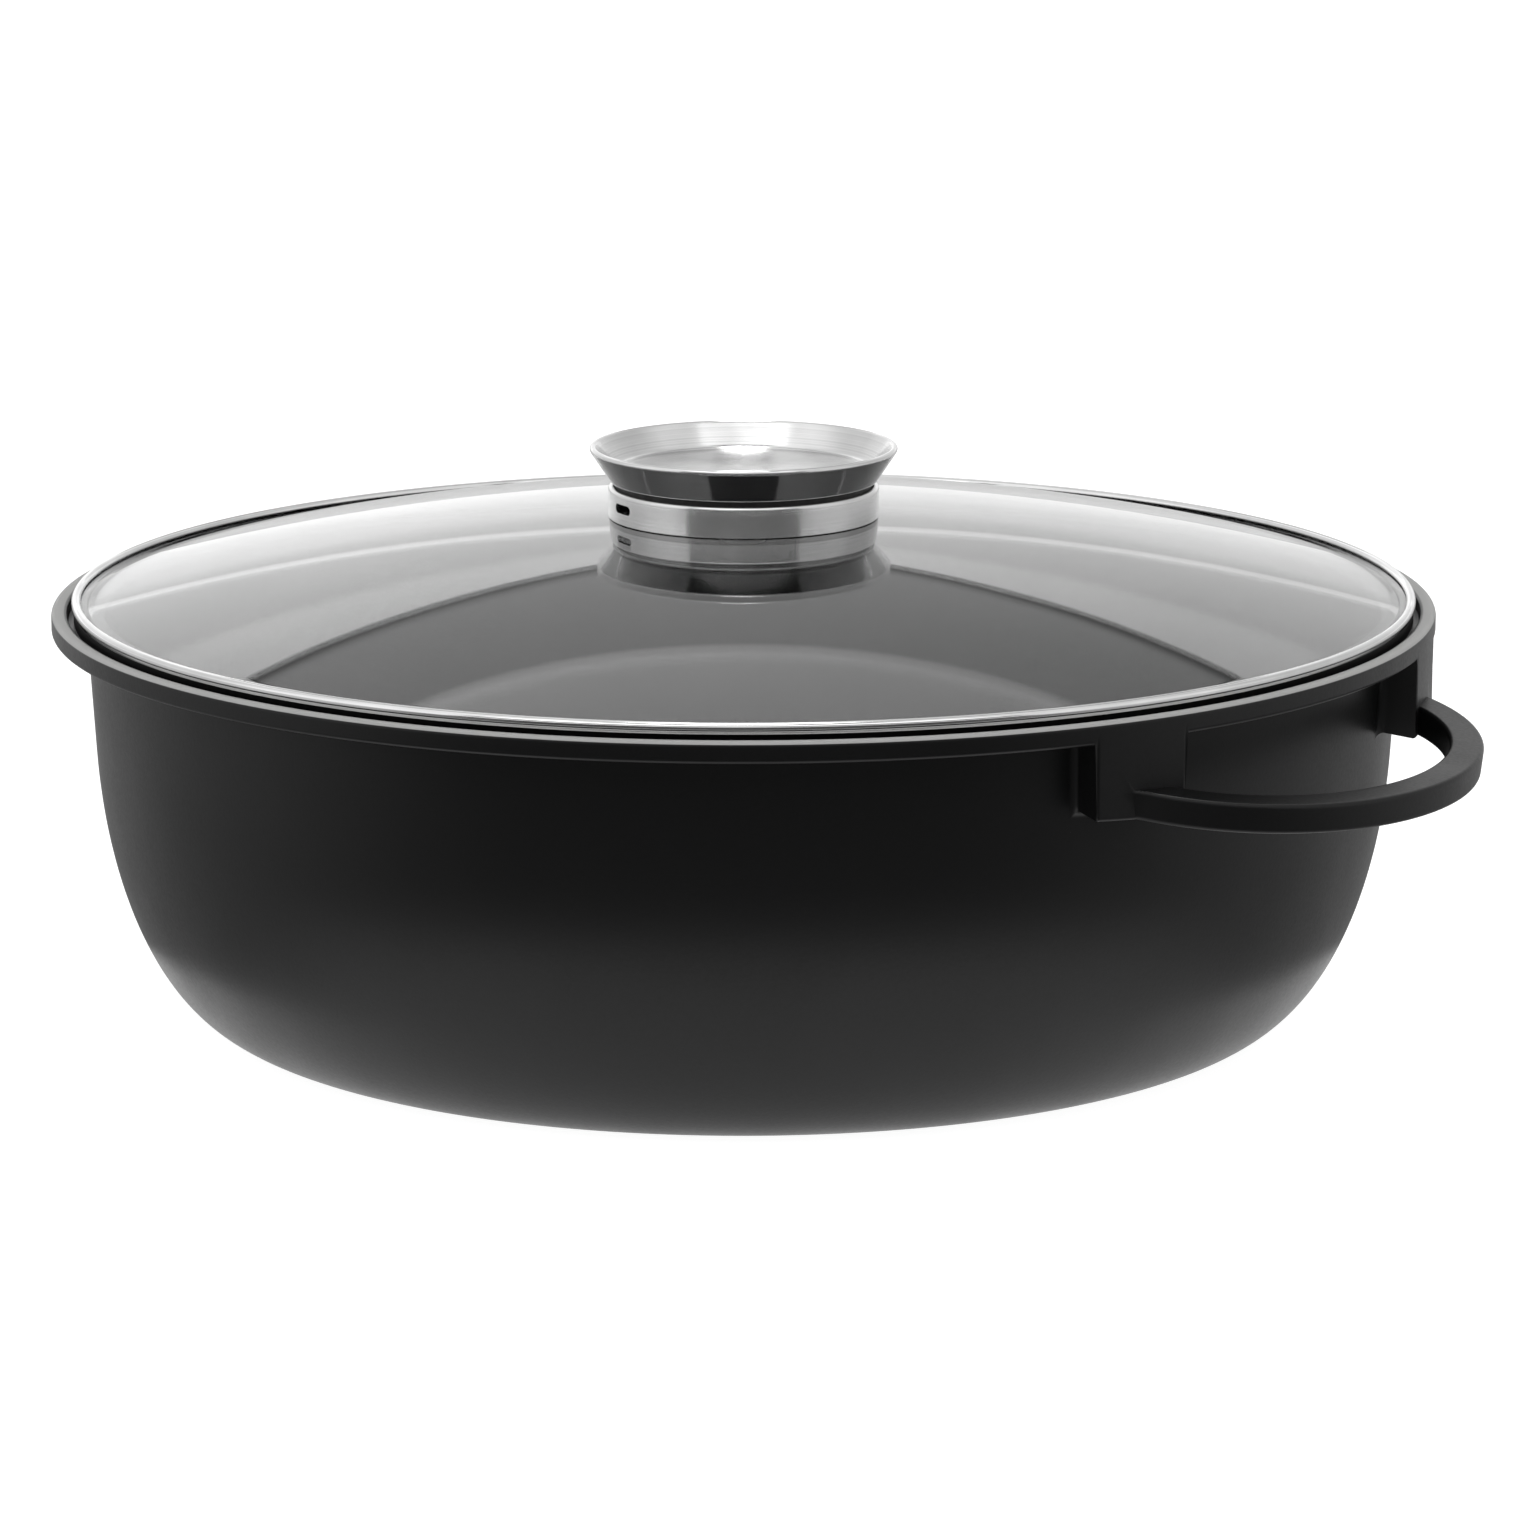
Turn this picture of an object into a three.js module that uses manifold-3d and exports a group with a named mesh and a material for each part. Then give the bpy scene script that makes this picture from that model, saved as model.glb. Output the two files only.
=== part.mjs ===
// Low round roasting pot of cast aluminium with a domed glass lid and a dish-shaped steel knob.
// Millimetres, +Z up. The origin is the centre of the base, on the surface that the pot stands on.
// The two loop handles lie along +X and -X.

import * as THREE from 'three';
import { mergeVertices } from 'three/addons/utils/BufferGeometryUtils.js';
import Module from 'manifold-3d';

const wasm = await Module();
wasm.setup();

// Pot casting
const RIM_DIAMETER = 330;
const POT_HEIGHT = 100;
const WALL_THICKNESS = 5;
const BASE_THICKNESS = 9;
const WALL_TAPER_DEG = 3.5;
const CORNER_WIDTH = 35;
const CORNER_HEIGHT = 76;
const FLANGE_HEIGHT = 5.2;
const FLANGE_OVERHANG = 8.5;
const FLANGE_FILLET = 4;
const RIM_LAND = 3.8;
const RIM_EDGE_ROUND = 0.7;
const LEDGE_DEPTH = 3.2;
const LEDGE_EDGE_ROUND = 1.2;
const STANDING_RING_WIDTH = 20;
const BASE_RELIEF = 0.5;

// Cast handles: two ears under the flange carry a loop, and both droop outwards alike.
// Heights of ears and loop are measured down from the rim, at the wall.
const EAR_HEIGHT = 24.2;
const EAR_WIDTH = 22.6;
const EAR_SPACING = 99.6;
const EAR_INSET = 0.2;
const LOOP_TOP_DEPTH = 16.7;
const LOOP_REACH = 27.2;
const LOOP_SPREAD = 128;
const LOOP_CENTRE_INSET = 21;
const LOOP_ROOT_DEPTH = 10;
const LOOP_TIP_WIDTH = 8;
const LOOP_ROOT_WIDTH = 8.4;
const LOOP_THICKNESS = 6.8;
const LOOP_EDGE_ROUND = 0.9;
const LOOP_DROOP_DEG = 7.8;

// Glass lid and its steel rim band
const LID_CLEARANCE = 1;
const LID_SEAT_GAP = 0.3;
const BAND_SHEET = 0.6;
const BAND_TOP_LIP = 2.8;
const BAND_BOTTOM_LIP = 4.2;
const GLASS_THICKNESS = 3.5;
const GLASS_CLEARANCE = 0.2;
const GLASS_EDGE_FLAT = 3;
const GLASS_HOLE_DIAMETER = 10;
const DOME_RISE = 19.5;

// Knob on top of the lid
const COLLAR_DIAMETER = 64.6;
const COLLAR_HEIGHT = 7.1;
const COLLAR_SHEET = 1.2;
const COLLAR_EDGE_ROUND = 0.8;
const COLLAR_GLASS_GAP = 0.4;
const VENT_LENGTH = 7.5;
const VENT_HEIGHT = 2.2;
const VENT_ANGLE_DEG = -117;
const KNOB_GROOVE = 1.1;
const DISH_DIAMETER = 73.4;
const DISH_HEIGHT = 8.4;
const DISH_WALL = 1.6;
const DISH_FLOOR = 2.2;
const DISH_FOOT_DIAMETER = 62.4;
const DISH_FOOT_ROUND = 1;
const DISH_INNER_ROUND = 8;
const DISH_BOSS_DIAMETER = 14;
const DISH_BOSS_LENGTH = 3;

// Fastening of the knob through the glass
const SEAL_DIAMETER = 44;
const SEAL_THICKNESS = 1.5;
const INNER_SEAL_DIAMETER = 28;
const WASHER_DIAMETER = 30;
const WASHER_THICKNESS = 1.2;
const SCREW_DIAMETER = 6;
const SCREW_BORE_DIAMETER = 3.2;
const SCREW_PORT_DIAMETER = 2;
const SCREW_HEAD_DIAMETER = 11;
const SCREW_HEAD_HEIGHT = 2.6;
const SCREW_HEAD_ROUND = 1;
const SCREW_TIP_WALL = 1;
const FIT_GAP = 0.3;
const SEAT_GAP = 0.1;

// Facets round the circle and along the curves
const POT_SEGMENTS = 64;
const KNOB_SEGMENTS = 40;
const SCREW_SEGMENTS = 20;
const PORT_SEGMENTS = 12;
const CORNER_STEPS = 7;
const DOME_STEPS = 7;
const LOOP_STEPS = 20;
const FILLET_STEPS = 3;
const LIP_STEPS = 4;
const EDGE_STEPS = 2;

const radians = THREE.MathUtils.degToRad;

// Derived heights and radii that several pieces share
const rimRadius = RIM_DIAMETER / 2;
const rimInnerRadius = rimRadius - RIM_LAND;
const wallRadius = rimRadius - FLANGE_OVERHANG;
const innerWallRadius = wallRadius - WALL_THICKNESS;
const flangeBottom = POT_HEIGHT - FLANGE_HEIGHT;
const ledgeZ = POT_HEIGHT - LEDGE_DEPTH;
const bandRadius = rimInnerRadius - LID_CLEARANCE;
const bandBottom = ledgeZ + LID_SEAT_GAP;
const glassEdgeRadius = bandRadius - BAND_SHEET - GLASS_CLEARANCE;
const glassEdgeBottom = bandBottom + BAND_SHEET + GLASS_CLEARANCE;
const glassEdgeTop = glassEdgeBottom + GLASS_THICKNESS;
const bandTop = glassEdgeTop + GLASS_CLEARANCE + BAND_SHEET;
const domeRadius = glassEdgeRadius - GLASS_EDGE_FLAT;
const domeSphere = (domeRadius ** 2 + DOME_RISE ** 2) / (2 * DOME_RISE);
const domeCentreZ = glassEdgeTop + DOME_RISE - domeSphere;
const glassTopAt = (r) => domeCentreZ + Math.sqrt(domeSphere ** 2 - r ** 2);
const glassHoleRadius = GLASS_HOLE_DIAMETER / 2;
const collarRadius = COLLAR_DIAMETER / 2;
const collarBottom = glassTopAt(collarRadius) + COLLAR_GLASS_GAP;
const collarTop = collarBottom + COLLAR_HEIGHT;
const sealBottom = glassTopAt(glassHoleRadius) + SEAT_GAP;
const sealTop = sealBottom + SEAL_THICKNESS;
const dishBottom = collarTop + KNOB_GROOVE;
const bossRadius = DISH_BOSS_DIAMETER / 2;
const bossBoreRadius = bossRadius + FIT_GAP;
const bossBottom = dishBottom - DISH_BOSS_LENGTH;
const ventZ = (collarBottom + collarTop) / 2;
const screwRadius = SCREW_DIAMETER / 2;
const screwClearRadius = screwRadius + FIT_GAP;
const innerSealTop = glassTopAt(INNER_SEAL_DIAMETER / 2) - GLASS_THICKNESS - SEAT_GAP;
const innerSealBottom = innerSealTop - SEAL_THICKNESS;
const washerTop = innerSealBottom - SEAT_GAP;
const washerBottom = washerTop - WASHER_THICKNESS;
const screwHeadTop = washerBottom - SEAT_GAP;

// Points of a circular arc in the profile plane, as [radius, height] pairs.
function arc(centreR, centreZ, size, fromDeg, toDeg, steps) {
  return Array.from({ length: steps + 1 }, (_, i) => {
    const angle = radians(fromDeg + ((toDeg - fromDeg) * i) / steps);
    return [centreR + size * Math.cos(angle), centreZ + size * Math.sin(angle)];
  });
}

// Merges shared vertices and drops the empty triangles that a profile leaves on the axis.
function weld(geometry) {
  geometry.deleteAttribute('normal');
  geometry.deleteAttribute('uv');
  const welded = mergeVertices(geometry, 1e-4);
  const index = Array.from(welded.index.array);
  const kept = [];
  for (let i = 0; i < index.length; i += 3) {
    const [a, b, c] = index.slice(i, i + 3);
    if (a !== b && b !== c && c !== a) kept.push(a, b, c);
  }
  welded.setIndex(kept);
  return welded;
}

// Turns a profile of [radius, height] points about the Z axis.
function revolve(profile, segments) {
  const points = profile.map(([r, z]) => new THREE.Vector2(r, z));
  return weld(new THREE.LatheGeometry(points, segments).rotateX(Math.PI / 2));
}

// Turns a profile that closes on itself, such as a washer's section.
function revolveRing(profile, segments) {
  return revolve([...profile, profile[0]], segments);
}

function solidOf(geometry) {
  const mesh = new wasm.Mesh({
    numProp: 3,
    vertProperties: new Float32Array(geometry.attributes.position.array),
    triVerts: new Uint32Array(geometry.index.array),
  });
  return new wasm.Manifold(mesh);
}

function geometryOf(solid) {
  const mesh = solid.getMesh();
  const geometry = new THREE.BufferGeometry();
  geometry.setAttribute('position', new THREE.BufferAttribute(mesh.vertProperties, 3));
  geometry.setIndex(new THREE.BufferAttribute(mesh.triVerts, 1));
  return geometry;
}

function piece(name, geometry, finish) {
  geometry.computeVertexNormals();
  const mesh = new THREE.Mesh(geometry, new THREE.MeshStandardMaterial(finish));
  mesh.name = name;
  return mesh;
}

// Tapered wall that runs into an elliptic corner, listed from the floor up to the wall's top.
function wallProfile(topRadius, topZ, floorZ, width, height) {
  const taper = Math.tan(radians(WALL_TAPER_DEG));
  const start = Math.atan((height / width) * taper);
  const cornerTop = floorZ + height * (1 - Math.sin(start));
  const centre = topRadius - (topZ - cornerTop) * taper - width * Math.cos(start);
  const corner = Array.from({ length: CORNER_STEPS + 1 }, (_, i) => {
    const angle = Math.PI / 2 - ((Math.PI / 2 - start) * i) / CORNER_STEPS;
    return [centre + width * Math.cos(angle), floorZ + height * (1 - Math.sin(angle))];
  });
  return [...corner, [topRadius, topZ]];
}

// The bowl: outer wall, flange with rounded edges, sunk ledge for the lid, and the inside.
function potBowl() {
  const outside = wallProfile(wallRadius, flangeBottom - FLANGE_FILLET, 0, CORNER_WIDTH, CORNER_HEIGHT);
  const insideTop = ledgeZ - LEDGE_EDGE_ROUND;
  const inside = wallProfile(
    innerWallRadius, insideTop, BASE_THICKNESS,
    CORNER_WIDTH - WALL_THICKNESS, CORNER_HEIGHT - BASE_THICKNESS,
  );
  const reliefRadius = outside[0][0] - STANDING_RING_WIDTH;
  const underFlange = arc(
    wallRadius + FLANGE_FILLET, flangeBottom - FLANGE_FILLET, FLANGE_FILLET, 180, 90, FILLET_STEPS,
  ).slice(1);
  const flange = [
    [rimRadius - RIM_EDGE_ROUND, flangeBottom],
    [rimRadius, flangeBottom + RIM_EDGE_ROUND],
    ...arc(rimRadius - RIM_EDGE_ROUND, POT_HEIGHT - RIM_EDGE_ROUND, RIM_EDGE_ROUND, 0, 90, EDGE_STEPS),
    [rimInnerRadius + RIM_EDGE_ROUND / 2, POT_HEIGHT],
    [rimInnerRadius, POT_HEIGHT - RIM_EDGE_ROUND / 2],
  ];
  const ledge = [
    [rimInnerRadius, ledgeZ],
    [innerWallRadius + LEDGE_EDGE_ROUND, ledgeZ],
  ];
  return revolve([
    [0, BASE_RELIEF],
    [reliefRadius, BASE_RELIEF],
    [reliefRadius + BASE_RELIEF, 0],
    ...outside,
    ...underFlange,
    ...flange,
    ...ledge,
    ...inside.reverse(),
    [0, BASE_THICKNESS],
  ], POT_SEGMENTS);
}

// Tilts a part of the handle down towards its tip and sets its datum plane at a height on the wall.
function droop(geometry, height) {
  geometry.translate(-wallRadius, 0, 0);
  geometry.rotateY(radians(LOOP_DROOP_DEG));
  geometry.translate(wallRadius, 0, height);
  return geometry;
}

// One ear: a slice of a ring that hangs under the flange, flush with the flange's outer face.
// Its sides point at the pot's axis, and its underside droops with the loop.
function ear(side) {
  const outer = rimRadius - EAR_INSET;
  const inner = wallRadius - WALL_THICKNESS / 2;
  const top = (flangeBottom + ledgeZ) / 2;
  const ring = revolveRing([
    [inner, 0],
    [outer, 0],
    [outer, top],
    [inner, top],
  ], POT_SEGMENTS);
  const from = Math.asin(EAR_SPACING / 2 / rimRadius);
  const to = Math.asin((EAR_SPACING / 2 + EAR_WIDTH) / rimRadius);
  const far = 2 * rimRadius;
  const wedge = new THREE.Shape([
    new THREE.Vector2(0, 0),
    new THREE.Vector2(far * Math.cos(from), side * far * Math.sin(from)),
    new THREE.Vector2(far * Math.cos(to), side * far * Math.sin(to)),
  ]);
  const slice = new THREE.ExtrudeGeometry(wedge, { depth: POT_HEIGHT, bevelEnabled: false });
  droop(slice, POT_HEIGHT - EAR_HEIGHT);
  return solidOf(ring).intersect(solidOf(weld(slice)));
}

// The loop: the space between two ellipses, given rounded edges and tilted down at its tip.
function handleLoop() {
  const centre = rimRadius - LOOP_CENTRE_INSET;
  const root = wallRadius - LOOP_ROOT_DEPTH;
  const outerReach = LOOP_REACH + LOOP_CENTRE_INSET - LOOP_EDGE_ROUND;
  const outerSpread = LOOP_SPREAD / 2 - LOOP_EDGE_ROUND;
  const innerReach = outerReach - LOOP_TIP_WIDTH + 2 * LOOP_EDGE_ROUND;
  const innerSpread = outerSpread - LOOP_ROOT_WIDTH + 2 * LOOP_EDGE_ROUND;
  const outerEnd = Math.acos((root - centre) / outerReach);
  const innerEnd = Math.acos((root - centre) / innerReach);
  const outline = new THREE.Shape();
  outline.absellipse(centre, 0, outerReach, outerSpread, -outerEnd, outerEnd, false);
  outline.absellipse(centre, 0, innerReach, innerSpread, innerEnd, -innerEnd, true);
  const bar = new THREE.ExtrudeGeometry(outline, {
    depth: LOOP_THICKNESS - 2 * LOOP_EDGE_ROUND,
    curveSegments: LOOP_STEPS,
    bevelSize: LOOP_EDGE_ROUND,
    bevelThickness: LOOP_EDGE_ROUND,
    bevelSegments: 1,
  });
  bar.translate(0, 0, LOOP_EDGE_ROUND - LOOP_THICKNESS);
  droop(bar, POT_HEIGHT - LOOP_TOP_DEPTH);
  return solidOf(weld(bar));
}

// The casting: bowl, ears and loops poured as one piece.
function pot() {
  const handle = handleLoop().add(ear(1)).add(ear(-1));
  const casting = solidOf(potBowl()).add(handle).add(handle.rotate([0, 0, 180]));
  return geometryOf(casting);
}

// Domed pane with a flat edge for the band and a hole for the screw.
function lidGlass() {
  const dome = (offset) => Array.from({ length: DOME_STEPS + 1 }, (_, i) => {
    const r = domeRadius + ((glassHoleRadius - domeRadius) * i) / DOME_STEPS;
    return [r, glassTopAt(r) - offset];
  });
  return revolveRing([
    ...dome(GLASS_THICKNESS).reverse(),
    [glassEdgeRadius, glassEdgeBottom],
    [glassEdgeRadius, glassEdgeTop],
    ...dome(0),
  ], POT_SEGMENTS);
}

// Steel strip rolled round the edge of the glass, open towards the middle.
function lidBand() {
  const inner = bandRadius - BAND_SHEET;
  const topLip = bandRadius - BAND_TOP_LIP;
  const bottomLip = bandRadius - BAND_BOTTOM_LIP;
  return revolveRing([
    [bottomLip, bandBottom],
    [bandRadius - BAND_SHEET, bandBottom],
    [bandRadius, bandBottom + BAND_SHEET],
    ...arc(bandRadius - 2 * BAND_SHEET, bandTop - 2 * BAND_SHEET, 2 * BAND_SHEET, 0, 90, EDGE_STEPS),
    [topLip, bandTop],
    [topLip, bandTop - BAND_SHEET],
    [inner, bandTop - BAND_SHEET],
    [inner, bandBottom + BAND_SHEET],
    [bottomLip, bandBottom + BAND_SHEET],
  ], POT_SEGMENTS);
}

// A slot-shaped bar that points out from the knob's axis at the vent's angle.
function ventCutter(bottom, top, length) {
  const half = VENT_LENGTH / 2;
  const height = top - bottom;
  const bar = new THREE.BoxGeometry(length, VENT_LENGTH, height);
  bar.translate(length / 2 + half, 0, bottom + height / 2);
  bar.rotateZ(radians(VENT_ANGLE_DEG));
  return solidOf(weld(bar));
}

// Steel hoop that shows as the bright band of the knob, with the steam slot in its side.
function knobCollar() {
  const inner = collarRadius - COLLAR_SHEET;
  const edgeRadius = collarRadius - COLLAR_EDGE_ROUND;
  const hoop = revolveRing([
    [inner, collarBottom],
    [collarRadius, collarBottom],
    ...arc(edgeRadius, collarTop - COLLAR_EDGE_ROUND, COLLAR_EDGE_ROUND, 0, 90, EDGE_STEPS),
    [inner, collarTop],
  ], KNOB_SEGMENTS);
  const slot = ventCutter(ventZ - VENT_HEIGHT / 2, ventZ + VENT_HEIGHT / 2, DISH_DIAMETER);
  return geometryOf(solidOf(hoop).subtract(slot));
}

// Heat-proof filling of the collar. It carries the dish and shows as a dark groove above the collar.
// A channel in its underside leads the steam to the slot.
function knobCore() {
  const outer = collarRadius - COLLAR_SHEET - FIT_GAP;
  const bottom = sealTop + SEAT_GAP;
  const top = dishBottom - SEAT_GAP;
  const plug = revolveRing([
    [bossBoreRadius, bottom],
    [outer, bottom],
    [outer, top],
    [bossBoreRadius, top],
  ], KNOB_SEGMENTS);
  const channel = ventCutter(bottom - SEAL_THICKNESS, ventZ + VENT_HEIGHT / 2, DISH_DIAMETER);
  return geometryOf(solidOf(plug).subtract(channel));
}

// Flared steel bowl with a round inner corner, a rolled lip and a threaded boss under its floor.
function knobDish() {
  const rim = DISH_DIAMETER / 2;
  const foot = DISH_FOOT_DIAMETER / 2;
  const rimZ = dishBottom + DISH_HEIGHT;
  const lip = DISH_WALL / 2;
  const flare = Math.atan2(rim - foot, DISH_HEIGHT);
  const wallSlant = DISH_WALL / Math.cos(flare);
  const floorZ = dishBottom + DISH_FLOOR;
  const outerAt = (z) => foot + (z - dishBottom) * Math.tan(flare);
  const innerTouchZ = floorZ + DISH_INNER_ROUND * (1 - Math.sin(flare));
  const innerCentre = outerAt(innerTouchZ) - wallSlant - DISH_INNER_ROUND * Math.cos(flare);
  const flareDeg = THREE.MathUtils.radToDeg(flare);
  const threadRadius = screwRadius + FIT_GAP;
  const threadTop = dishBottom + DISH_FLOOR / 2;
  return revolve([
    [0, threadTop],
    [threadRadius, threadTop],
    [threadRadius, bossBottom],
    [bossRadius, bossBottom],
    [bossRadius, dishBottom],
    [foot - DISH_FOOT_ROUND, dishBottom],
    [outerAt(dishBottom + DISH_FOOT_ROUND), dishBottom + DISH_FOOT_ROUND],
    ...arc(rim - lip, rimZ - lip, lip, 0, 180, LIP_STEPS),
    ...arc(innerCentre, floorZ + DISH_INNER_ROUND, DISH_INNER_ROUND, -flareDeg, -90, FILLET_STEPS),
    [0, floorZ],
  ], KNOB_SEGMENTS);
}

function flatRing(innerRadius, outerRadius, bottom, top) {
  return revolveRing([
    [innerRadius, bottom],
    [outerRadius, bottom],
    [outerRadius, top],
    [innerRadius, top],
  ], KNOB_SEGMENTS);
}

// Hollow screw: steam enters under the head and leaves through a port above the glass.
function ventScrew() {
  const headRadius = SCREW_HEAD_DIAMETER / 2;
  const headBottom = screwHeadTop - SCREW_HEAD_HEIGHT;
  const boreRadius = SCREW_BORE_DIAMETER / 2;
  const tip = dishBottom + DISH_FLOOR / 2 - FIT_GAP;
  const boreTop = tip - SCREW_TIP_WALL;
  const shank = revolve([
    [0, boreTop],
    [boreRadius, boreTop],
    [boreRadius, headBottom],
    [headRadius - SCREW_HEAD_ROUND, headBottom],
    [headRadius, headBottom + SCREW_HEAD_ROUND],
    [headRadius, screwHeadTop],
    [screwRadius, screwHeadTop],
    [screwRadius, tip],
    [0, tip],
  ], SCREW_SEGMENTS);
  const portRadius = SCREW_PORT_DIAMETER / 2;
  const port = new THREE.CylinderGeometry(portRadius, portRadius, 2 * SCREW_DIAMETER, PORT_SEGMENTS);
  port.translate(0, SCREW_DIAMETER, 0);
  port.rotateZ(radians(VENT_ANGLE_DEG - 90));
  port.translate(0, 0, (sealTop + bossBottom) / 2);
  return geometryOf(solidOf(shank).subtract(solidOf(weld(port))));
}

const COATING = { color: 0x26272a, roughness: 0.55, metalness: 0.2 };
const POLISHED_STEEL = { color: 0xd4d6d8, roughness: 0.15, metalness: 1 };
const PLAIN_STEEL = { color: 0xb4b6b8, roughness: 0.35, metalness: 1 };
const GLASS = { color: 0xe8efee, roughness: 0.05, metalness: 0, transparent: true, opacity: 0.3 };
const SILICONE = { color: 0x2b2b2b, roughness: 0.7, metalness: 0 };
const CORE_RESIN = { color: 0x1b1a19, roughness: 0.6, metalness: 0 };

const innerSealRadius = INNER_SEAL_DIAMETER / 2;
const washerRadius = WASHER_DIAMETER / 2;
const lid = new THREE.Group();
lid.add(
  piece('lid_glass', lidGlass(), GLASS),
  piece('lid_rim_band', lidBand(), POLISHED_STEEL),
  piece('knob_dish', knobDish(), POLISHED_STEEL),
  piece('knob_collar', knobCollar(), POLISHED_STEEL),
  piece('knob_core', knobCore(), CORE_RESIN),
  piece('knob_seal', flatRing(bossBoreRadius, SEAL_DIAMETER / 2, sealBottom, sealTop), SILICONE),
  piece('inner_seal', flatRing(screwClearRadius, innerSealRadius, innerSealBottom, innerSealTop), SILICONE),
  piece('inner_washer', flatRing(screwClearRadius, washerRadius, washerBottom, washerTop), PLAIN_STEEL),
  piece('vent_screw', ventScrew(), PLAIN_STEEL),
);

const roastingPot = new THREE.Group();
roastingPot.add(piece('pot', pot(), COATING), lid);

export default roastingPot;
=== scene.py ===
"""Looks of a low round roasting pot with a domed glass lid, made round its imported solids.

The frame is the solids' own: metres, +Z up, the middle of the base at the origin and the two loop
handles along +X and -X. Sizes in the classes are in millimetres, as on a drawing, and MM turns them to
metres. Outer radii and heights come from the solids, and the rest are sizes that a drawing would give.
"""

import logging
import math
from collections.abc import Sequence
from dataclasses import asdict, dataclass, field
from enum import Enum
from typing import Any, ClassVar

import bmesh
import bpy
import numpy as np
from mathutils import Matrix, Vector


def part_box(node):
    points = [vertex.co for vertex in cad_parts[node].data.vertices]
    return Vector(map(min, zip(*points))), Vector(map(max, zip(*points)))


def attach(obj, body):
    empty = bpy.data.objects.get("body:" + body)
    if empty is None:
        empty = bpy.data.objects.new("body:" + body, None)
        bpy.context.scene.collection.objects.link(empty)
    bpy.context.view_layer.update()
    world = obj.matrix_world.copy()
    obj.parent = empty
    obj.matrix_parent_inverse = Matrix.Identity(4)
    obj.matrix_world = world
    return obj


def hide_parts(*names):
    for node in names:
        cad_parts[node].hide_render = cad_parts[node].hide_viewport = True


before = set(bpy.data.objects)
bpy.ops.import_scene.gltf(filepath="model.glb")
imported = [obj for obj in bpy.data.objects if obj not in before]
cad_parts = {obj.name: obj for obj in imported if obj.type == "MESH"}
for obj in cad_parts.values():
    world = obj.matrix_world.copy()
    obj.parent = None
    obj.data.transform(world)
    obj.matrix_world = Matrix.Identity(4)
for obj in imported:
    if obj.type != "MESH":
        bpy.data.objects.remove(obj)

Tree = bpy.types.NodeTree
Node = bpy.types.Node
Socket = bpy.types.NodeSocket
Piece = bpy.types.Object

MM = 0.001
SHARP_ANGLE = math.radians(38.0)
WELD_MM = 0.0001
# Below this, a length counts as none and two lines as one.
TINY = 1e-6
# Steps round the axis, in an arc, and along the longer curves.
POT_TURNS = 256
KNOB_TURNS = 192
SCREW_TURNS = 64
ARC_STEPS = 6
CORNER_STEPS = 40
WALL_STEPS = 10
LOOP_STEPS = 160
DOME_STEPS = 60
SLOT_STEPS = 24
# Points that keep shading flat: a length beside each rounding, and shares of the casting's flat faces.
BRACE_MM = 0.25
UNDERSIDE_SHARES = np.array([0.08, 0.5, 0.92])
EAR_SHARES = np.array([0.03, 0.3, 0.6, 0.9, 1.0])
FLANGE_SHARES = np.array([0.5, 0.9])
# Close steps at an ear's side: their reach in drafts, and the room up to the even steps in reaches.
SIDE_STEPS = 17
SIDE_REACH = 2.4
SIDE_ROOM = 1.2
# Noise values between which a pattern goes from its dark to its light end.
PATTERN_LOW = 0.3
PATTERN_HIGH = 0.7
# Quarter turn that makes the lines of turned steel spread reflections across themselves.
ACROSS_LINES = 0.25
# Sockets of a Mix node by number, because their names repeat.
MIX_SHARE = 0
MIX_FIRST = 2
MIX_SECOND = 3
MIX_FIRST_TONE = 6
MIX_SECOND_TONE = 7
MIXED_TONE = 2
EVEN = 0.5
SMOOTH = "SMOOTHSTEP"
log = logging.getLogger("roasting_pot")


class Body(Enum):
    """The two bodies that move against each other."""

    POT = "pot"
    LID = "lid"


class Slot(Enum):
    """Material slots of the record."""

    COATING = "coated_casting"
    GLASS = "lid_glass"
    POLISHED = "polished_steel"
    PLAIN = "plain_steel"
    RESIN = "core_resin"
    SILICONE = "silicone"


class Ends(Enum):
    """How a grid of points is closed into a skin."""

    TURNED_OPEN = "a profile from axis to axis, turned right round"
    TURNED_RING = "a profile that closes on itself, turned right round"
    CAPPED_BAR = "a section carried along a path, with a flat face at each end"
    SHEET = "an open sheet"


class Seen(Enum):
    """What sees a staged sheet."""

    CAMERA = "the camera alone"
    REFLECTIONS = "reflections alone"


class Join(Enum):
    """What a tool does to the piece it meets."""

    ADD = "UNION"
    CUT = "DIFFERENCE"


@dataclass(frozen=True)
class Extent:
    """Room that a turned solid takes, in millimetres: outer radius, lowest and highest point."""

    radius: float
    bottom: float
    top: float

    @classmethod
    def of(cls, node: str) -> "Extent":
        """The extent of a named solid. The handles lie along X, so the radius is read along Y."""
        low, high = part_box(node)
        return cls(high.y / MM, low.z / MM, high.z / MM)


def linear(colour: str) -> tuple[float, float, float, float]:
    """An sRGB hex colour as linear red, green and blue, by the curve of sRGB, and a full alpha.

    Args:
        colour: Six hex digits after a hash sign.

    Returns:
        Four numbers from 0 to 1.
    """
    srgb = np.array([int(colour[i : i + 2], 16) for i in (1, 3, 5)]) / 255.0
    rgb = np.where(srgb <= 0.04045, srgb / 12.92, ((srgb + 0.055) / 1.055) ** 2.4)
    return (*rgb.tolist(), 1.0)


def smoothstep(low: float, high: float, value: np.ndarray) -> np.ndarray:
    """Goes from 0 at low to 1 at high as 3 t squared less 2 t cubed.

    Args:
        low: Value where the step starts.
        high: Value where the step ends.
        value: Where to read it.

    Returns:
        The step at each value.
    """
    t = np.clip((value - low) / (high - low), 0.0, 1.0)
    return t * t * (3.0 - 2.0 * t)


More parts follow.
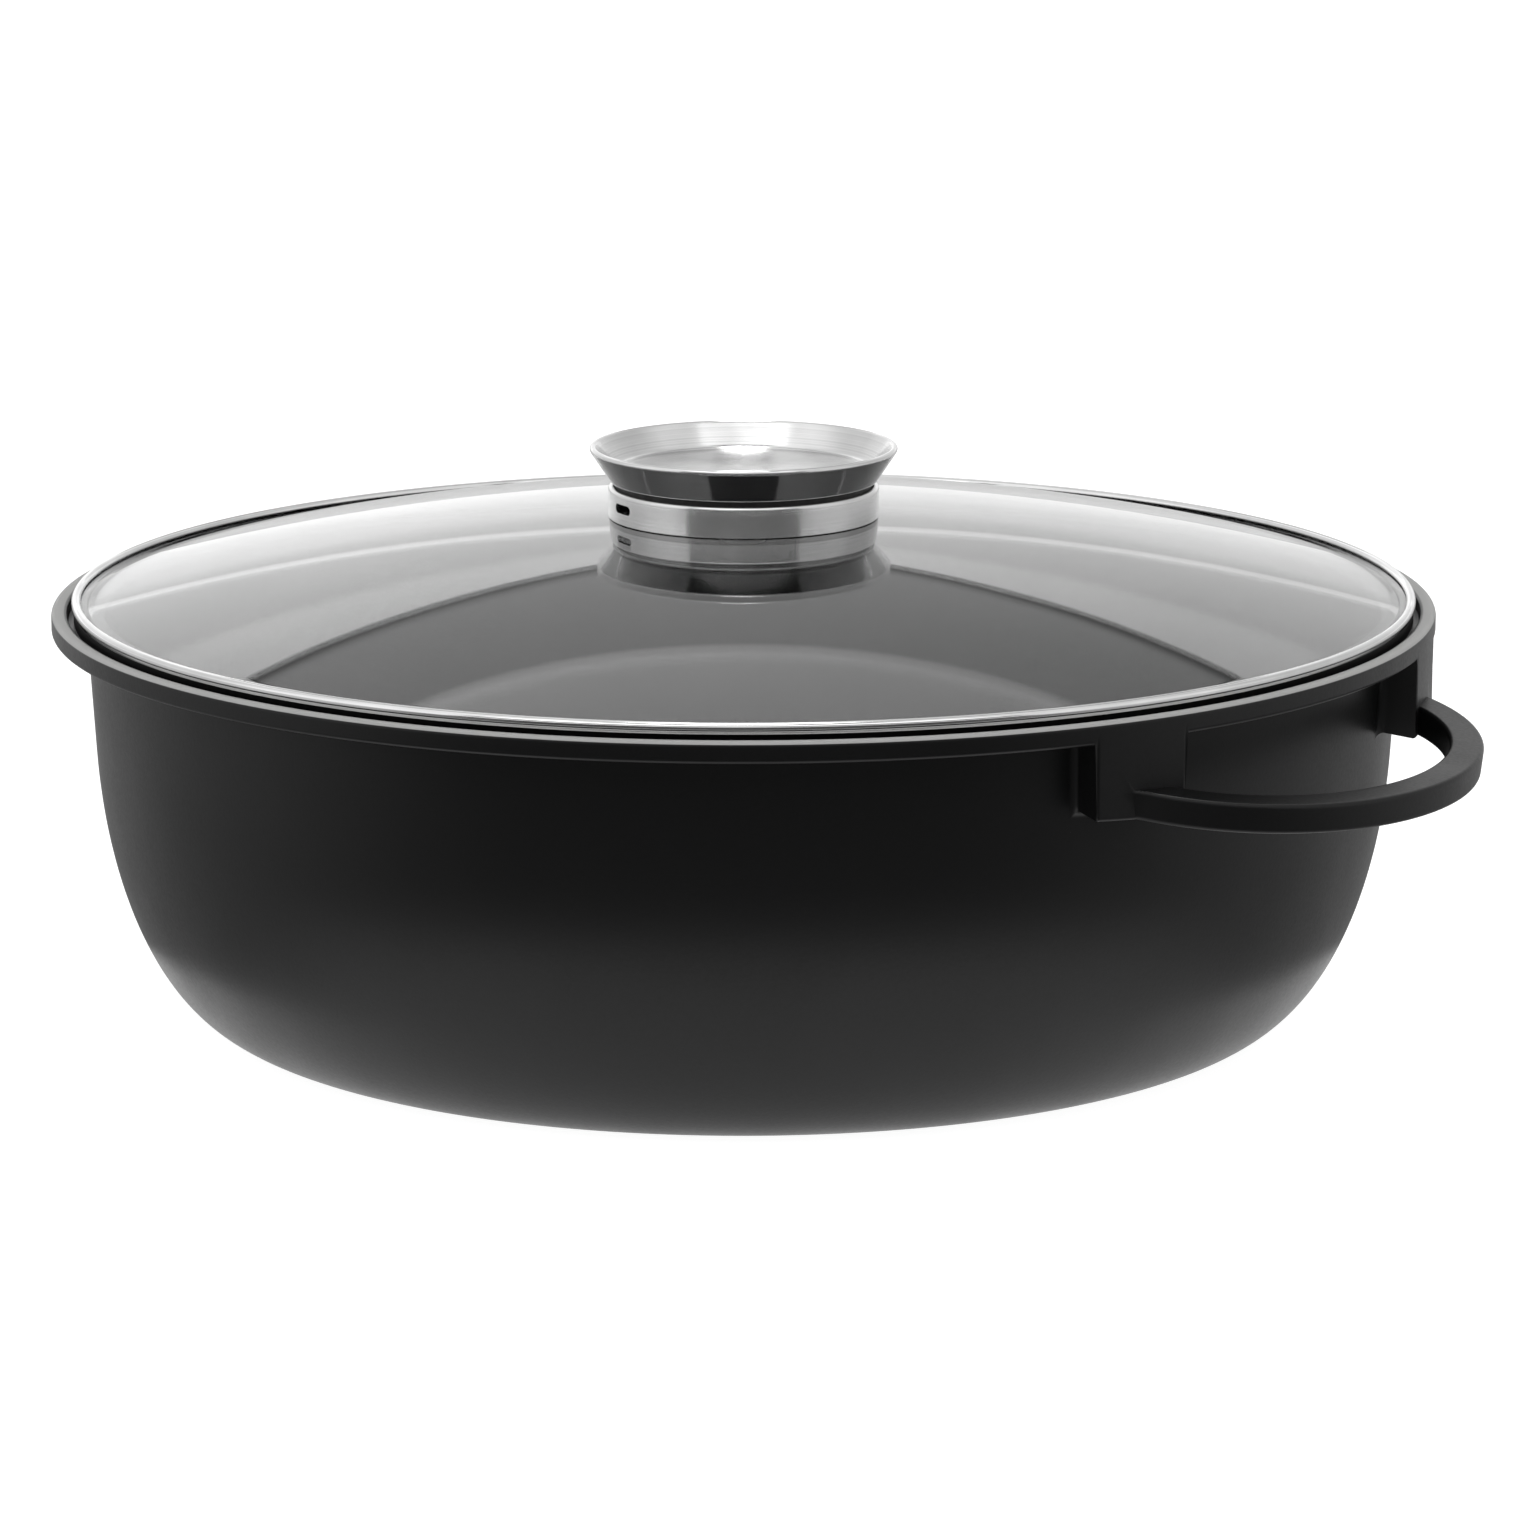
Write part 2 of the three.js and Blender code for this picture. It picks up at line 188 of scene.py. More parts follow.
def rounded(corners: Sequence[tuple[float, float, float]], steps: int = ARC_STEPS) -> np.ndarray:
    """A profile whose corners are arcs that touch the lines on both sides.

    With h half the angle in the corner and e the rounding, the arc's centre lies e over sin h from the
    corner along the bisector, and the arc starts and ends e over tan h from the corner.

    Args:
        corners: Radius, height and rounding of each corner. An open profile starts and ends unrounded.
        steps: Steps in each arc.

    Returns:
        Points as radius and height, with no point twice in a row.
    """
    table = np.asarray(corners, float)
    point, size = table[:, :2], table[:, 2:]
    before = np.roll(point, 1, axis=0) - point
    after = np.roll(point, -1, axis=0) - point
    before /= np.linalg.norm(before, axis=1, keepdims=True)
    after /= np.linalg.norm(after, axis=1, keepdims=True)
    cosine = np.clip(np.sum(before * after, axis=1, keepdims=True), TINY - 1.0, 1.0 - TINY)
    half = np.arccos(cosine) / 2.0
    bisector = before + after
    bisector /= np.maximum(np.linalg.norm(bisector, axis=1, keepdims=True), TINY)
    centre = point + bisector * size / np.sin(half)
    touch = point + before * size / np.tan(half) - centre
    leave = point + after * size / np.tan(half) - centre
    turn = (np.pi - 2.0 * half)[:, None]
    share = np.linspace(0.0, 1.0, steps + 1)[None, :, None]
    swing = np.sin((1.0 - share) * turn) * touch[:, None] + np.sin(share * turn) * leave[:, None]
    arcs = (centre[:, None] + swing / np.sin(turn)).reshape(-1, 2)
    fresh = np.linalg.norm(np.diff(arcs, axis=0, prepend=arcs[:1] + 1.0), axis=1) > TINY
    return arcs[fresh]


def braced(points: np.ndarray, closed: bool, reach: float = BRACE_MM) -> np.ndarray:
    """Adds a point near each end of every long line, so that shading stays flat between two roundings.

    Args:
        points: Profile points in order.
        closed: Whether the last point joins the first.
        reach: Distance of the added points from the line's ends.

    Returns:
        The profile with the added points.
    """
    ends = np.roll(points, -1, axis=0) if closed else points[1:]
    starts = points if closed else points[:-1]
    length = np.linalg.norm(ends - starts, axis=1)
    long = length > 3.0 * reach
    share = np.stack((np.zeros_like(length), reach / length, 1.0 - reach / length), axis=1)
    kept = np.stack((np.ones_like(long), long, long), axis=1)
    between = starts[:, None] + share[:, :, None] * (ends - starts)[:, None]
    return between[kept] if closed else np.vstack((between[kept], points[-1:]))


def turned(profile: np.ndarray, turns: int) -> np.ndarray:
    """Carries a profile round the Z axis: radius r and height z at angle a give (r cos a, r sin a, z).

    Args:
        profile: Points as radius and height.
        turns: Steps round the circle.

    Returns:
        A grid of points, turns by profile points by 3.
    """
    angle = np.linspace(0.0, 2.0 * np.pi, turns, endpoint=False)[:, None]
    radius, height = profile.T
    return np.stack((radius * np.cos(angle), radius * np.sin(angle), height + 0.0 * angle), axis=-1)


def skin(name: str, grid: np.ndarray, ends: Ends) -> Piece:
    """Makes a mesh object of a grid of points.

    Args:
        name: Name of the object and its mesh.
        grid: Points in millimetres, path by section by 3.
        ends: How the grid closes.

    Returns:
        The object, at the origin, with its faces outwards.
    """
    rows, columns = grid.shape[:2]
    index = np.arange(rows * columns).reshape(rows, columns)
    if ends in (Ends.TURNED_OPEN, Ends.TURNED_RING):
        index = np.concatenate((index, index[:1]))
    if ends in (Ends.TURNED_RING, Ends.CAPPED_BAR):
        index = np.concatenate((index, index[:, :1]), axis=1)
    quads = np.stack((index[:-1, :-1], index[1:, :-1], index[1:, 1:], index[:-1, 1:]), axis=-1)
    faces = quads.reshape(-1, 4).tolist()
    if ends is Ends.CAPPED_BAR:
        faces += [index[0, :columns].tolist(), index[-1, :columns].tolist()]
    mesh = bpy.data.meshes.new(name)
    mesh.from_pydata((grid.reshape(-1, 3) * MM).tolist(), [], faces)
    weld(mesh)
    made = bpy.data.objects.new(name, mesh)
    bpy.context.scene.collection.objects.link(made)
    return made


def weld(mesh: bpy.types.Mesh) -> None:
    """Closes a mesh's seams and poles and turns its faces outwards.

    Args:
        mesh: The mesh to mend.
    """
    work = bmesh.new()
    work.from_mesh(mesh)
    bmesh.ops.remove_doubles(work, verts=work.verts, dist=WELD_MM * MM)
    bmesh.ops.recalc_face_normals(work, faces=work.faces)
    work.to_mesh(mesh)
    work.free()


def combine(base: Piece, tools: Sequence[Piece], join: Join) -> None:
    """Joins closed tools to a closed base or cuts them from it, and removes the tools.

    Args:
        base: Object that is changed.
        tools: Objects that are used up.
        join: What the tools do.
    """
    for tool in tools:
        step = base.modifiers.new(tool.name, "BOOLEAN")
        step.operation = join.value
        step.solver = "MANIFOLD"
        step.object = tool
    shape = base.evaluated_get(bpy.context.evaluated_depsgraph_get())
    mesh = bpy.data.meshes.new_from_object(shape)
    mesh.materials.clear()
    base.modifiers.clear()
    base.data = mesh
    for tool in tools:
        bpy.data.objects.remove(tool)


def add_node(
    tree: Tree, kind: str, inputs: dict[str | int, Any] | None = None, **settings: Any
) -> Node:
    """Adds one node with its settings, its input values and its links.

    Args:
        tree: Node tree that takes the node.
        kind: Blender's name of the node type.
        inputs: Values, or sockets to link from, by input name or number.
        settings: Attributes of the node itself.

    Returns:
        The new node.
    """
    node = tree.nodes.new(kind)
    for key, value in settings.items():
        setattr(node, key, value)
    for key, value in (inputs or {}).items():
        if isinstance(value, Socket):
            tree.links.new(value, node.inputs[key])
        else:
            node.inputs[key].default_value = value
    return node


@dataclass(frozen=True)
class Finish:
    """A surface finish: its slot, its two tones, its gloss from smooth to rough and its relief."""

    title: str
    slot: Slot
    dark: str
    light: str
    smooth: float
    rough: float
    relief_mm: float

    def material(self) -> bpy.types.Material:
        """The finish's material, made at its first use.

        Returns:
            A material whose shader is a Principled BSDF.
        """
        made = bpy.data.materials.get(self.title)
        if made is None:
            made = bpy.data.materials.new(self.title)
            made.use_nodes = True
            tree = made.node_tree
            tree.nodes.clear()
            shader = add_node(tree, "ShaderNodeBsdfPrincipled")
            add_node(tree, "ShaderNodeOutputMaterial", {"Surface": shader.outputs["BSDF"]})
            place = add_node(tree, "ShaderNodeTexCoord").outputs["Object"]
            self.dress(tree, shader, place)
        return made

    def dress(self, tree: Tree, shader: Node, place: Socket) -> None:
        """Adds the finish's pattern, which lies at object coordinates, to its shader."""
        raise NotImplementedError

    def wear(self, tree: Tree, shader: Node, level: Socket, height: Socket) -> None:
        """Turns a pattern into tone, gloss and relief, and links them to the shader.

        Args:
            tree: The material's nodes.
            shader: The Principled BSDF to feed.
            level: Pattern about 0.5, low for dark and rough, high for light and smooth.
            height: Pattern about 0.5 that gives the relief.
        """
        spread = {"Value": level, "From Min": PATTERN_LOW, "From Max": PATTERN_HIGH}
        share = add_node(tree, "ShaderNodeMapRange", spread).outputs["Result"]
        tones = {
            MIX_SHARE: share,
            MIX_FIRST_TONE: linear(self.dark),
            MIX_SECOND_TONE: linear(self.light),
        }
        tone = add_node(tree, "ShaderNodeMix", tones, data_type="RGBA").outputs[MIXED_TONE]
        bumps = {"Height": height, "Strength": 1.0, "Distance": self.relief_mm * MM}
        normal = add_node(tree, "ShaderNodeBump", bumps).outputs["Normal"]
        blur = {"Value": share, "To Min": self.rough, "To Max": self.smooth}
        gloss = add_node(tree, "ShaderNodeMapRange", blur).outputs["Result"]
        tree.links.new(tone, shader.inputs["Base Color"])
        tree.links.new(gloss, shader.inputs["Roughness"])
        tree.links.new(normal, shader.inputs["Normal"])

    @staticmethod
    def overlay(tree: Tree, shader: Node, share: Socket, tone: str, rough: float) -> None:
        """Lays another tone and roughness over those that a shader has.

        Args:
            tree: The material's nodes.
            shader: The Principled BSDF, with its own pattern linked.
            share: 1 where the other tone shows and 0 where it does not.
            tone: The other tone.
            rough: The other roughness.
        """
        own = {key: shader.inputs[key].links[0].from_socket for key in ("Base Color", "Roughness")}
        tones = {MIX_SHARE: share, MIX_FIRST_TONE: own["Base Color"], MIX_SECOND_TONE: linear(tone)}
        mixed = add_node(tree, "ShaderNodeMix", tones, data_type="RGBA").outputs[MIXED_TONE]
        blur = {MIX_SHARE: share, MIX_FIRST: own["Roughness"], MIX_SECOND: rough}
        gloss = add_node(tree, "ShaderNodeMix", blur).outputs[0]
        tree.links.new(mixed, shader.inputs["Base Color"])
        tree.links.new(gloss, shader.inputs["Roughness"])

    @staticmethod
    def round_axis(tree: Tree, place: Socket) -> tuple[Socket, Socket]:
        """Distance of each point from the Z axis, and its height.

        Args:
            tree: The material's nodes.
            place: Object coordinates in metres.

        Returns:
            The distance and the height, in metres.
        """
        part = add_node(tree, "ShaderNodeSeparateXYZ", {"Vector": place}).outputs
        flat = add_node(tree, "ShaderNodeCombineXYZ", {"X": part["X"], "Y": part["Y"]}).outputs[0]
        radius = add_node(tree, "ShaderNodeVectorMath", {0: flat}, operation="LENGTH").outputs["Value"]
        return radius, part["Z"]


@dataclass(frozen=True)
class SprayedCoating(Finish):
    """A coat sprayed on a blasted casting, and the rim's land, which was turned bare after it."""

    grain_mm: float
    cloud_mm: float
    refraction: float
    land_tone: str
    land_rough: float
    land_radius_mm: float
    land_bottom_mm: float
    land_slope: float
    land_edge_mm: float

    def dress(self, tree: Tree, shader: Node, place: Socket) -> None:
        """Grain and clouds in equal parts, and the bare land above a cone.

        The grain is drawn coarser than it is, so that it shows.

        Args:
            tree: The material's nodes.
            shader: The Principled BSDF to feed.
            place: Object coordinates in metres.
        """
        fine = {"Vector": place, "Scale": 1.0 / (self.grain_mm * MM), "Detail": 2.0}
        grain = add_node(tree, "ShaderNodeTexNoise", fine).outputs["Fac"]
        broad = {"Vector": place, "Scale": 1.0 / (self.cloud_mm * MM), "Detail": 3.0}
        cloud = add_node(tree, "ShaderNodeTexNoise", broad).outputs["Fac"]
        both = {MIX_SHARE: EVEN, MIX_FIRST: grain, MIX_SECOND: cloud}
        level = add_node(tree, "ShaderNodeMix", both).outputs[0]
        self.wear(tree, shader, level, grain)
        radius, height = self.round_axis(tree, place)
        cone = {0: radius, 1: self.land_slope, 2: height}
        above = add_node(tree, "ShaderNodeMath", cone, operation="MULTIPLY_ADD").outputs[0]
        edge = self.land_bottom_mm + self.land_slope * self.land_radius_mm
        step = {"Value": above, "From Min": edge * MM, "From Max": (edge + self.land_edge_mm) * MM}
        bare = add_node(tree, "ShaderNodeMapRange", step).outputs["Result"]
        self.overlay(tree, shader, bare, self.land_tone, self.land_rough)
        shader.inputs["IOR"].default_value = self.refraction


@dataclass(frozen=True)
class BentGlass(Finish):
    """Clear glass bent over a form, so that its reflections waver a little."""

    wave_mm: float
    refraction: float

    def dress(self, tree: Tree, shader: Node, place: Socket) -> None:
        """Long, shallow waves in tone and height.

        Args:
            tree: The material's nodes.
            shader: The Principled BSDF to feed.
            place: Object coordinates in metres.
        """
        waves = {"Vector": place, "Scale": 1.0 / (self.wave_mm * MM), "Detail": 1.0}
        wave = add_node(tree, "ShaderNodeTexNoise", waves).outputs["Fac"]
        self.wear(tree, shader, wave, wave)
        shader.inputs["IOR"].default_value = self.refraction
        shader.inputs["Transmission Weight"].default_value = 1.0


@dataclass(frozen=True)
class TurnedSteel(Finish):
    """Steel that was turned or polished on a spindle, with lines that run round the axis."""

    line_mm: float
    smear_mm: float
    stretch: float

    def dress(self, tree: Tree, shader: Node, place: Socket) -> None:
        """Lines round the axis, a noise of distance and height alone, and smears, in equal parts.

        Args:
            tree: The material's nodes.
            shader: The Principled BSDF to feed.
            place: Object coordinates in metres.
        """
        radius, height = self.round_axis(tree, place)
        across = add_node(tree, "ShaderNodeCombineXYZ", {"X": radius, "Y": height}).outputs["Vector"]
        lines = {"Vector": across, "Scale": 1.0 / (self.line_mm * MM), "Detail": 3.0}
        line = add_node(tree, "ShaderNodeTexNoise", lines).outputs["Fac"]
        smears = {"Vector": place, "Scale": 1.0 / (self.smear_mm * MM), "Detail": 2.0}
        smear = add_node(tree, "ShaderNodeTexNoise", smears).outputs["Fac"]
        both = {MIX_SHARE: EVEN, MIX_FIRST: line, MIX_SECOND: smear}
        level = add_node(tree, "ShaderNodeMix", both).outputs[0]
        self.wear(tree, shader, level, line)
        tangent = add_node(tree, "ShaderNodeTangent", direction_type="RADIAL", axis="Z")
        tree.links.new(tangent.outputs["Tangent"], shader.inputs["Tangent"])
        shader.inputs["Metallic"].default_value = 1.0
        shader.inputs["Anisotropic"].default_value = self.stretch
        shader.inputs["Anisotropic Rotation"].default_value = ACROSS_LINES


@dataclass(frozen=True)
class FlaredSteel(TurnedSteel):
    """Turned steel of a flared bowl that is brushed inside and polished on its outside."""

    mirror_rough: float
    flare_deg: float
    flare_radius_mm: float
    flare_height_mm: float
    flare_edge_mm: float

    def dress(self, tree: Tree, shader: Node, place: Socket) -> None:
        """Lines round the axis, and a mirror outside the cone in the middle of the bowl's wall.

        Args:
            tree: The material's nodes.
            shader: The Principled BSDF to feed.
            place: Object coordinates in metres.
        """
        super().dress(tree, shader, place)
        slope = math.tan(math.radians(self.flare_deg))
        radius, height = self.round_axis(tree, place)
        cone = {0: height, 1: -slope, 2: radius}
        beyond = add_node(tree, "ShaderNodeMath", cone, operation="MULTIPLY_ADD").outputs[0]
        edge = (self.flare_radius_mm - self.flare_height_mm * slope) * MM
        soft = self.flare_edge_mm * MM
        step = {"Value": beyond, "From Min": edge - soft, "From Max": edge + soft}
        outside = add_node(tree, "ShaderNodeMapRange", step).outputs["Result"]
        brushed = shader.inputs["Roughness"].links[0].from_socket
        blur = {MIX_SHARE: outside, MIX_FIRST: brushed, MIX_SECOND: self.mirror_rough}
        gloss = add_node(tree, "ShaderNodeMix", blur).outputs[0]
        tree.links.new(gloss, shader.inputs["Roughness"])
        smear = {"Value": outside, "To Min": self.stretch, "To Max": 0.0}
        stretch = add_node(tree, "ShaderNodeMapRange", smear).outputs["Result"]
        tree.links.new(stretch, shader.inputs["Anisotropic"])


@dataclass(frozen=True)
class SteelWithPaintedGrooveShade(TurnedSteel):
    """Polished steel with a groove between two heights, where a dull dark band of painted shade lies."""

    # Tone and roughness of the painted shade in the groove, and the heights between which it lies.
    painted_groove_shade_tone: str
    painted_groove_shade_rough: float
    groove_bottom_mm: float
    groove_top_mm: float

    def dress(self, tree: Tree, shader: Node, place: Socket) -> None:
        """Lines round the axis, and a dull dark band of painted shade between the groove's two heights.

        Args:
            tree: The material's nodes.
            shader: The Principled BSDF to feed.
            place: Object coordinates in metres.
        """
        super().dress(tree, shader, place)
        height = add_node(tree, "ShaderNodeSeparateXYZ", {"Vector": place}).outputs["Z"]
        middle = (self.groove_bottom_mm + self.groove_top_mm) / 2.0 * MM
        half = (self.groove_top_mm - self.groove_bottom_mm) / 2.0 * MM
        near = {0: height, 1: middle, 2: half}
        # Painted shade: the groove's band is drawn dark and dull, standing in for the shade of the
        # recess.
        groove = add_node(tree, "ShaderNodeMath", near, operation="COMPARE").outputs[0]
        self.overlay(tree, shader, groove, self.painted_groove_shade_tone, self.painted_groove_shade_rough)


@dataclass(frozen=True)
class MouldedCompound(Finish):
    """A moulded dark compound: fine grain and a dull, slightly uneven surface."""

    grain_mm: float

    def dress(self, tree: Tree, shader: Node, place: Socket) -> None:
        """Grain in tone, gloss and height.

        Args:
            tree: The material's nodes.
            shader: The Principled BSDF to feed.
            place: Object coordinates in metres.
        """
        fine = {"Vector": place, "Scale": 1.0 / (self.grain_mm * MM), "Detail": 3.0}
        grain = add_node(tree, "ShaderNodeTexNoise", fine).outputs["Fac"]
        self.wear(tree, shader, grain, grain)


# Matt black that is never quite even: a fine grain from the spray and the blasted metal under it,
# faint clouds where the coat is thicker, a grey sheen where the surface turns away, and a dull grey
# line along the bare rim.
COATING = SprayedCoating(
    title="non_stick_coated_aluminium",
    slot=Slot.COATING,
    dark="#060606",
    light="#0c0c0d",
    smooth=0.3,
    rough=0.4,
    relief_mm=0.018,
    grain_mm=0.9,
    cloud_mm=24.0,
    refraction=1.36,
    land_tone="#a0a09f",
    land_rough=0.7,
    land_radius_mm=165.0,
    land_bottom_mm=99.1,
    land_slope=0.14,
    land_edge_mm=0.12,
)

# A clear pane with sharp reflections that waver a little, and a faint grey where it is seen edge on.
GLASS = BentGlass(
    title="toughened_glass",
    slot=Slot.GLASS,
    dark="#f1f2f2",
    light="#fcfcfc",
    smooth=0.0,
    rough=0.008,
    relief_mm=0.012,
    wave_mm=45.0,
    refraction=1.52,
)

# Bright steel, almost a mirror: clean white and black lines, and a dull dark band of painted shade
# in the groove under the bead.
POLISHED = SteelWithPaintedGrooveShade(
    title="polished_stainless_steel",
    slot=Slot.POLISHED,
    dark="#dcdcdc",
    light="#f0f0f0",
    smooth=0.05,
    rough=0.09,
    relief_mm=0.0004,
    line_mm=0.35,
    smear_mm=12.0,
    stretch=0.3,
    painted_groove_shade_tone="#141414",
    painted_groove_shade_rough=0.5,
    groove_bottom_mm=97.5,
    groove_top_mm=100.4,
)

# Bright steel with soft lines round the axis, which spread reflections across them but not along them.
BRUSHED = TurnedSteel(
    title="brushed_stainless_steel",
    slot=Slot.POLISHED,
    dark="#d2d2d2",
    light="#ededed",
    smooth=0.15,
    rough=0.22,
    relief_mm=0.0008,
    line_mm=0.35,
    smear_mm=12.0,
    stretch=0.85,
)

# The same steel with a polished outside, which mirrors the lid as a dark band under the bright lip.
HALF_BRUSHED = FlaredSteel(
    **(asdict(BRUSHED) | {"title": "brushed_and_polished_stainless_steel"}),
    mirror_rough=0.06,
    flare_deg=33.2,
    flare_radius_mm=35.7,
    flare_height_mm=136.28,
    flare_edge_mm=0.1,
)

# Greyer steel as it leaves the lathe, with plain turning lines.
PLAIN = TurnedSteel(
    title="turned_stainless_steel",
    slot=Slot.PLAIN,
    dark="#9b9c9b",
    light="#c6c7c6",
    smooth=0.24,
    rough=0.4,
    relief_mm=0.003,
    line_mm=0.5,
    smear_mm=10.0,
    stretch=0.5,
)

# Near black moulding compound with the faint flow marks of its filler.
RESIN = MouldedCompound(
    title="moulded_phenolic_resin",
    slot=Slot.RESIN,
    dark="#0d0c0c",
    light="#191716",
    smooth=0.45,
    rough=0.65,
    relief_mm=0.03,
    grain_mm=1.2,
)

# Dark grey rubber, dull and faintly dusty.
SILICONE = MouldedCompound(
    title="moulded_silicone_rubber",
    slot=Slot.SILICONE,
    dark="#232323",
    light="#333333",
    smooth=0.6,
    rough=0.8,
    relief_mm=0.02,
    grain_mm=0.6,
)


class SubAssembly:
    """What a sub-assembly does with a shaped piece: dresses it, hangs it on its body and reports it."""

    body: ClassVar[Body]

    def settle(self, piece: Piece, node: str, finish: Finish) -> None:
        """Finishes a piece that stands for a solid.

        Args:
            piece: The shaped object.
            node: Name of the solid that it stands for.
            finish: The piece's finish.
        """
        piece.data.materials.append(finish.material())
        piece.data.shade_smooth()
        piece.data.set_sharp_from_angle(angle=SHARP_ANGLE)
        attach(piece, self.body.value)
        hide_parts(node)
        faces = len(piece.data.polygons)
        log.info("%s stands for %s: %d faces, %s", piece.name, node, faces, finish.title)


@dataclass
class PotCasting(SubAssembly):
    """The pot: bowl, flange, sunk ledge, four ears and two loop handles, poured as one."""

    body: ClassVar[Body] = Body.POT
    room: Extent = field(default_factory=lambda: Extent.of("pot"))
    wall: float = 5.0
    base: float = 9.0
    taper_deg: float = 3.5
    corner_width: float = 35.0
    corner_height: float = 76.0
    flange_height: float = 5.2
    overhang: float = 8.5
    flange_fillet: float = 1.5
    rim_land: float = 3.8
    rim_round: float = 1.2
    land_fall: float = 0.5
    ledge_depth: float = 3.2
    ledge_round: float = 1.2
    ledge_run: float = 8.0
    step_round: float = 0.4
    seam: float = 1.0
    ring_width: float = 20.0
    base_relief: float = 0.5
    relief_round: float = 0.2
    ear_height: float = 23.7
    ear_width: float = 22.6
    ear_spacing: float = 99.6
    ear_fillet: float = 2.0
    ear_round: float = 1.0
    ear_draft: float = 0.5
    face_step: float = 0.2
    side_fillet: float = 1.8
    side_fade: float = 9.0
    loop_top_depth: float = 16.7
    loop_reach: float = 27.2
    loop_spread: float = 128.0
    loop_inset: float = 21.0
    loop_tip: float = 8.0
    loop_root: float = 8.4
    loop_thickness: float = 6.8
    loop_round: float = 1.0
    loop_fillet: float = 2.5
    loop_end: float = 1.5
    loop_sink: float = 0.1
    droop_deg: float = 7.8

    @property
    def wall_radius(self) -> float:
        """Outside radius of the wall at its top."""
        return self.room.radius - self.overhang

    @property
    def flange_bottom(self) -> float:
        """Height of the flange's underside."""
        return self.room.top - self.flange_height

    @property
    def ear_bottom(self) -> float:
        """Height of the ears' underside, next to the wall on the handle's axis."""
        return self.room.top - self.ear_height

    @property
    def wall_low(self) -> float:
        """Height on the wall below which nothing of the ears is left."""
        return self.ear_bottom - 2.0 * self.ear_fillet

    def wall_line(
        self, top_radius: float, top: float, floor: float, width: float, rise: float
    ) -> np.ndarray:
        """A tapered wall that runs into a quarter of an ellipse, from the floor up.

        Args:
            top_radius: Radius at the wall's top.
            top: Height of the wall's top.
            floor: Height of the floor.
            width: Half axis of the ellipse across.
            rise: Half axis of the ellipse upwards.

        Returns:
            Points as radius and height, from the floor's edge to the wall's top.
        """
        slope = math.tan(math.radians(self.taper_deg))
        start = math.atan(rise / width * slope)
        angle = np.linspace(np.pi / 2.0, start, CORNER_STEPS)
        corner_top = floor + rise * (1.0 - math.sin(start))
        centre = top_radius - (top - corner_top) * slope - width * math.cos(start)
        corner_r = centre + width * np.cos(angle)
        corner_z = floor + rise * (1.0 - np.sin(angle))
        return np.vstack((np.stack((corner_r, corner_z), axis=1), [[top_radius, top]]))

    def ear_angles(self) -> tuple[float, float]:
        """Angles of an ear's sides: arc sines of their distances from the handle's axis over the radius.

        Returns:
            The angles of the inner and the outer side, from the handle's axis.
        """
        inner = math.asin(self.ear_spacing / 2.0 / self.room.radius)
        outer = math.asin((self.ear_spacing / 2.0 + self.ear_width) / self.room.radius)
        return inner, outer

    def turns(self) -> np.ndarray:
        """Angles round the pot: even steps, with close ones at the sides of the ears.

        Returns:
            Angles in order, in radians, one to a row.
        """
        even = np.linspace(0.0, 2.0 * np.pi, POT_TURNS, endpoint=False)
        close = np.linspace(-SIDE_REACH, SIDE_REACH, SIDE_STEPS) * self.ear_draft / self.room.radius
        sides = np.array(self.ear_angles())
        sides = np.concatenate((sides, -sides, sides + np.pi, np.pi - sides)) % (2.0 * np.pi)
        near = (sides[:, None] + close).ravel() % (2.0 * np.pi)
        gap = np.abs((even[:, None] - sides + np.pi) % (2.0 * np.pi) - np.pi).min(axis=1)
        return np.sort(np.concatenate((even[gap > close.max() * SIDE_ROOM], near)))[:, None]

    def underside(self, turn: np.ndarray, ear: np.ndarray, radius: np.ndarray | float) -> np.ndarray:
        """Height of the underside of flange and ears.

        The flange's underside is level. An ear's underside droops outwards with the loop.

        Args:
            turn: Angle from the nearest handle's axis.
            ear: 1 within an ear, 0 outside it.
            radius: Distance from the pot's axis.

        Returns:
            The heights.
        """
        slope = math.tan(math.radians(self.droop_deg))
        hang = self.ear_bottom - (radius * np.cos(turn) - self.wall_radius) * slope
        return self.flange_bottom + (hang - self.flange_bottom) * ear

    def outside(self, angle: np.ndarray) -> tuple[np.ndarray, np.ndarray, np.ndarray]:
        """The upper wall, the underside of flange and ears and their outer face, at each angle.

        The underside hangs at the flange's height, and within an ear it drops to the ear's height. Both
        meet in a steep ramp, which is the ear's side. Near the wall the ramp moves away from the ear
        along a quarter circle, which is the fillet between the ear's side and the wall.

        Args:
            angle: Angles round the pot, one to a row.

        Returns:
            Radii, heights and turns to add to the angles, one row to an angle.
        """
        radius = self.room.radius
        inner, outer = self.ear_angles()
        wrapped = (angle + np.pi / 2.0) % np.pi - np.pi / 2.0
        turn = np.abs(wrapped)
        inside = np.minimum(turn - inner, outer - turn) * radius
        ear = smoothstep(-self.ear_draft, self.ear_draft, inside)
        fillet = self.flange_fillet + (self.ear_fillet - self.flange_fillet) * ear
        slope = math.tan(math.radians(self.taper_deg))
        climb = np.linspace(0.0, 1.0, WALL_STEPS)
        wall_top = self.underside(turn, ear, self.wall_radius) - fillet
        wall_z = self.wall_low + (wall_top - self.wall_low) * climb
        wall_r = self.wall_radius - (self.flange_bottom - self.flange_fillet - wall_z) * slope
        swing = np.linspace(np.pi, np.pi / 2.0, ARC_STEPS + 1)[1:]
        fillet_r = wall_r[:, -1:] + fillet + fillet * np.cos(swing)
        fillet_z = self.underside(turn, ear, fillet_r) - fillet + fillet * np.sin(swing)
        edge = self.ear_round
        flat_end = radius - edge
        flat_r = fillet_r[:, -1:] + (flat_end - fillet_r[:, -1:]) * UNDERSIDE_SHARES
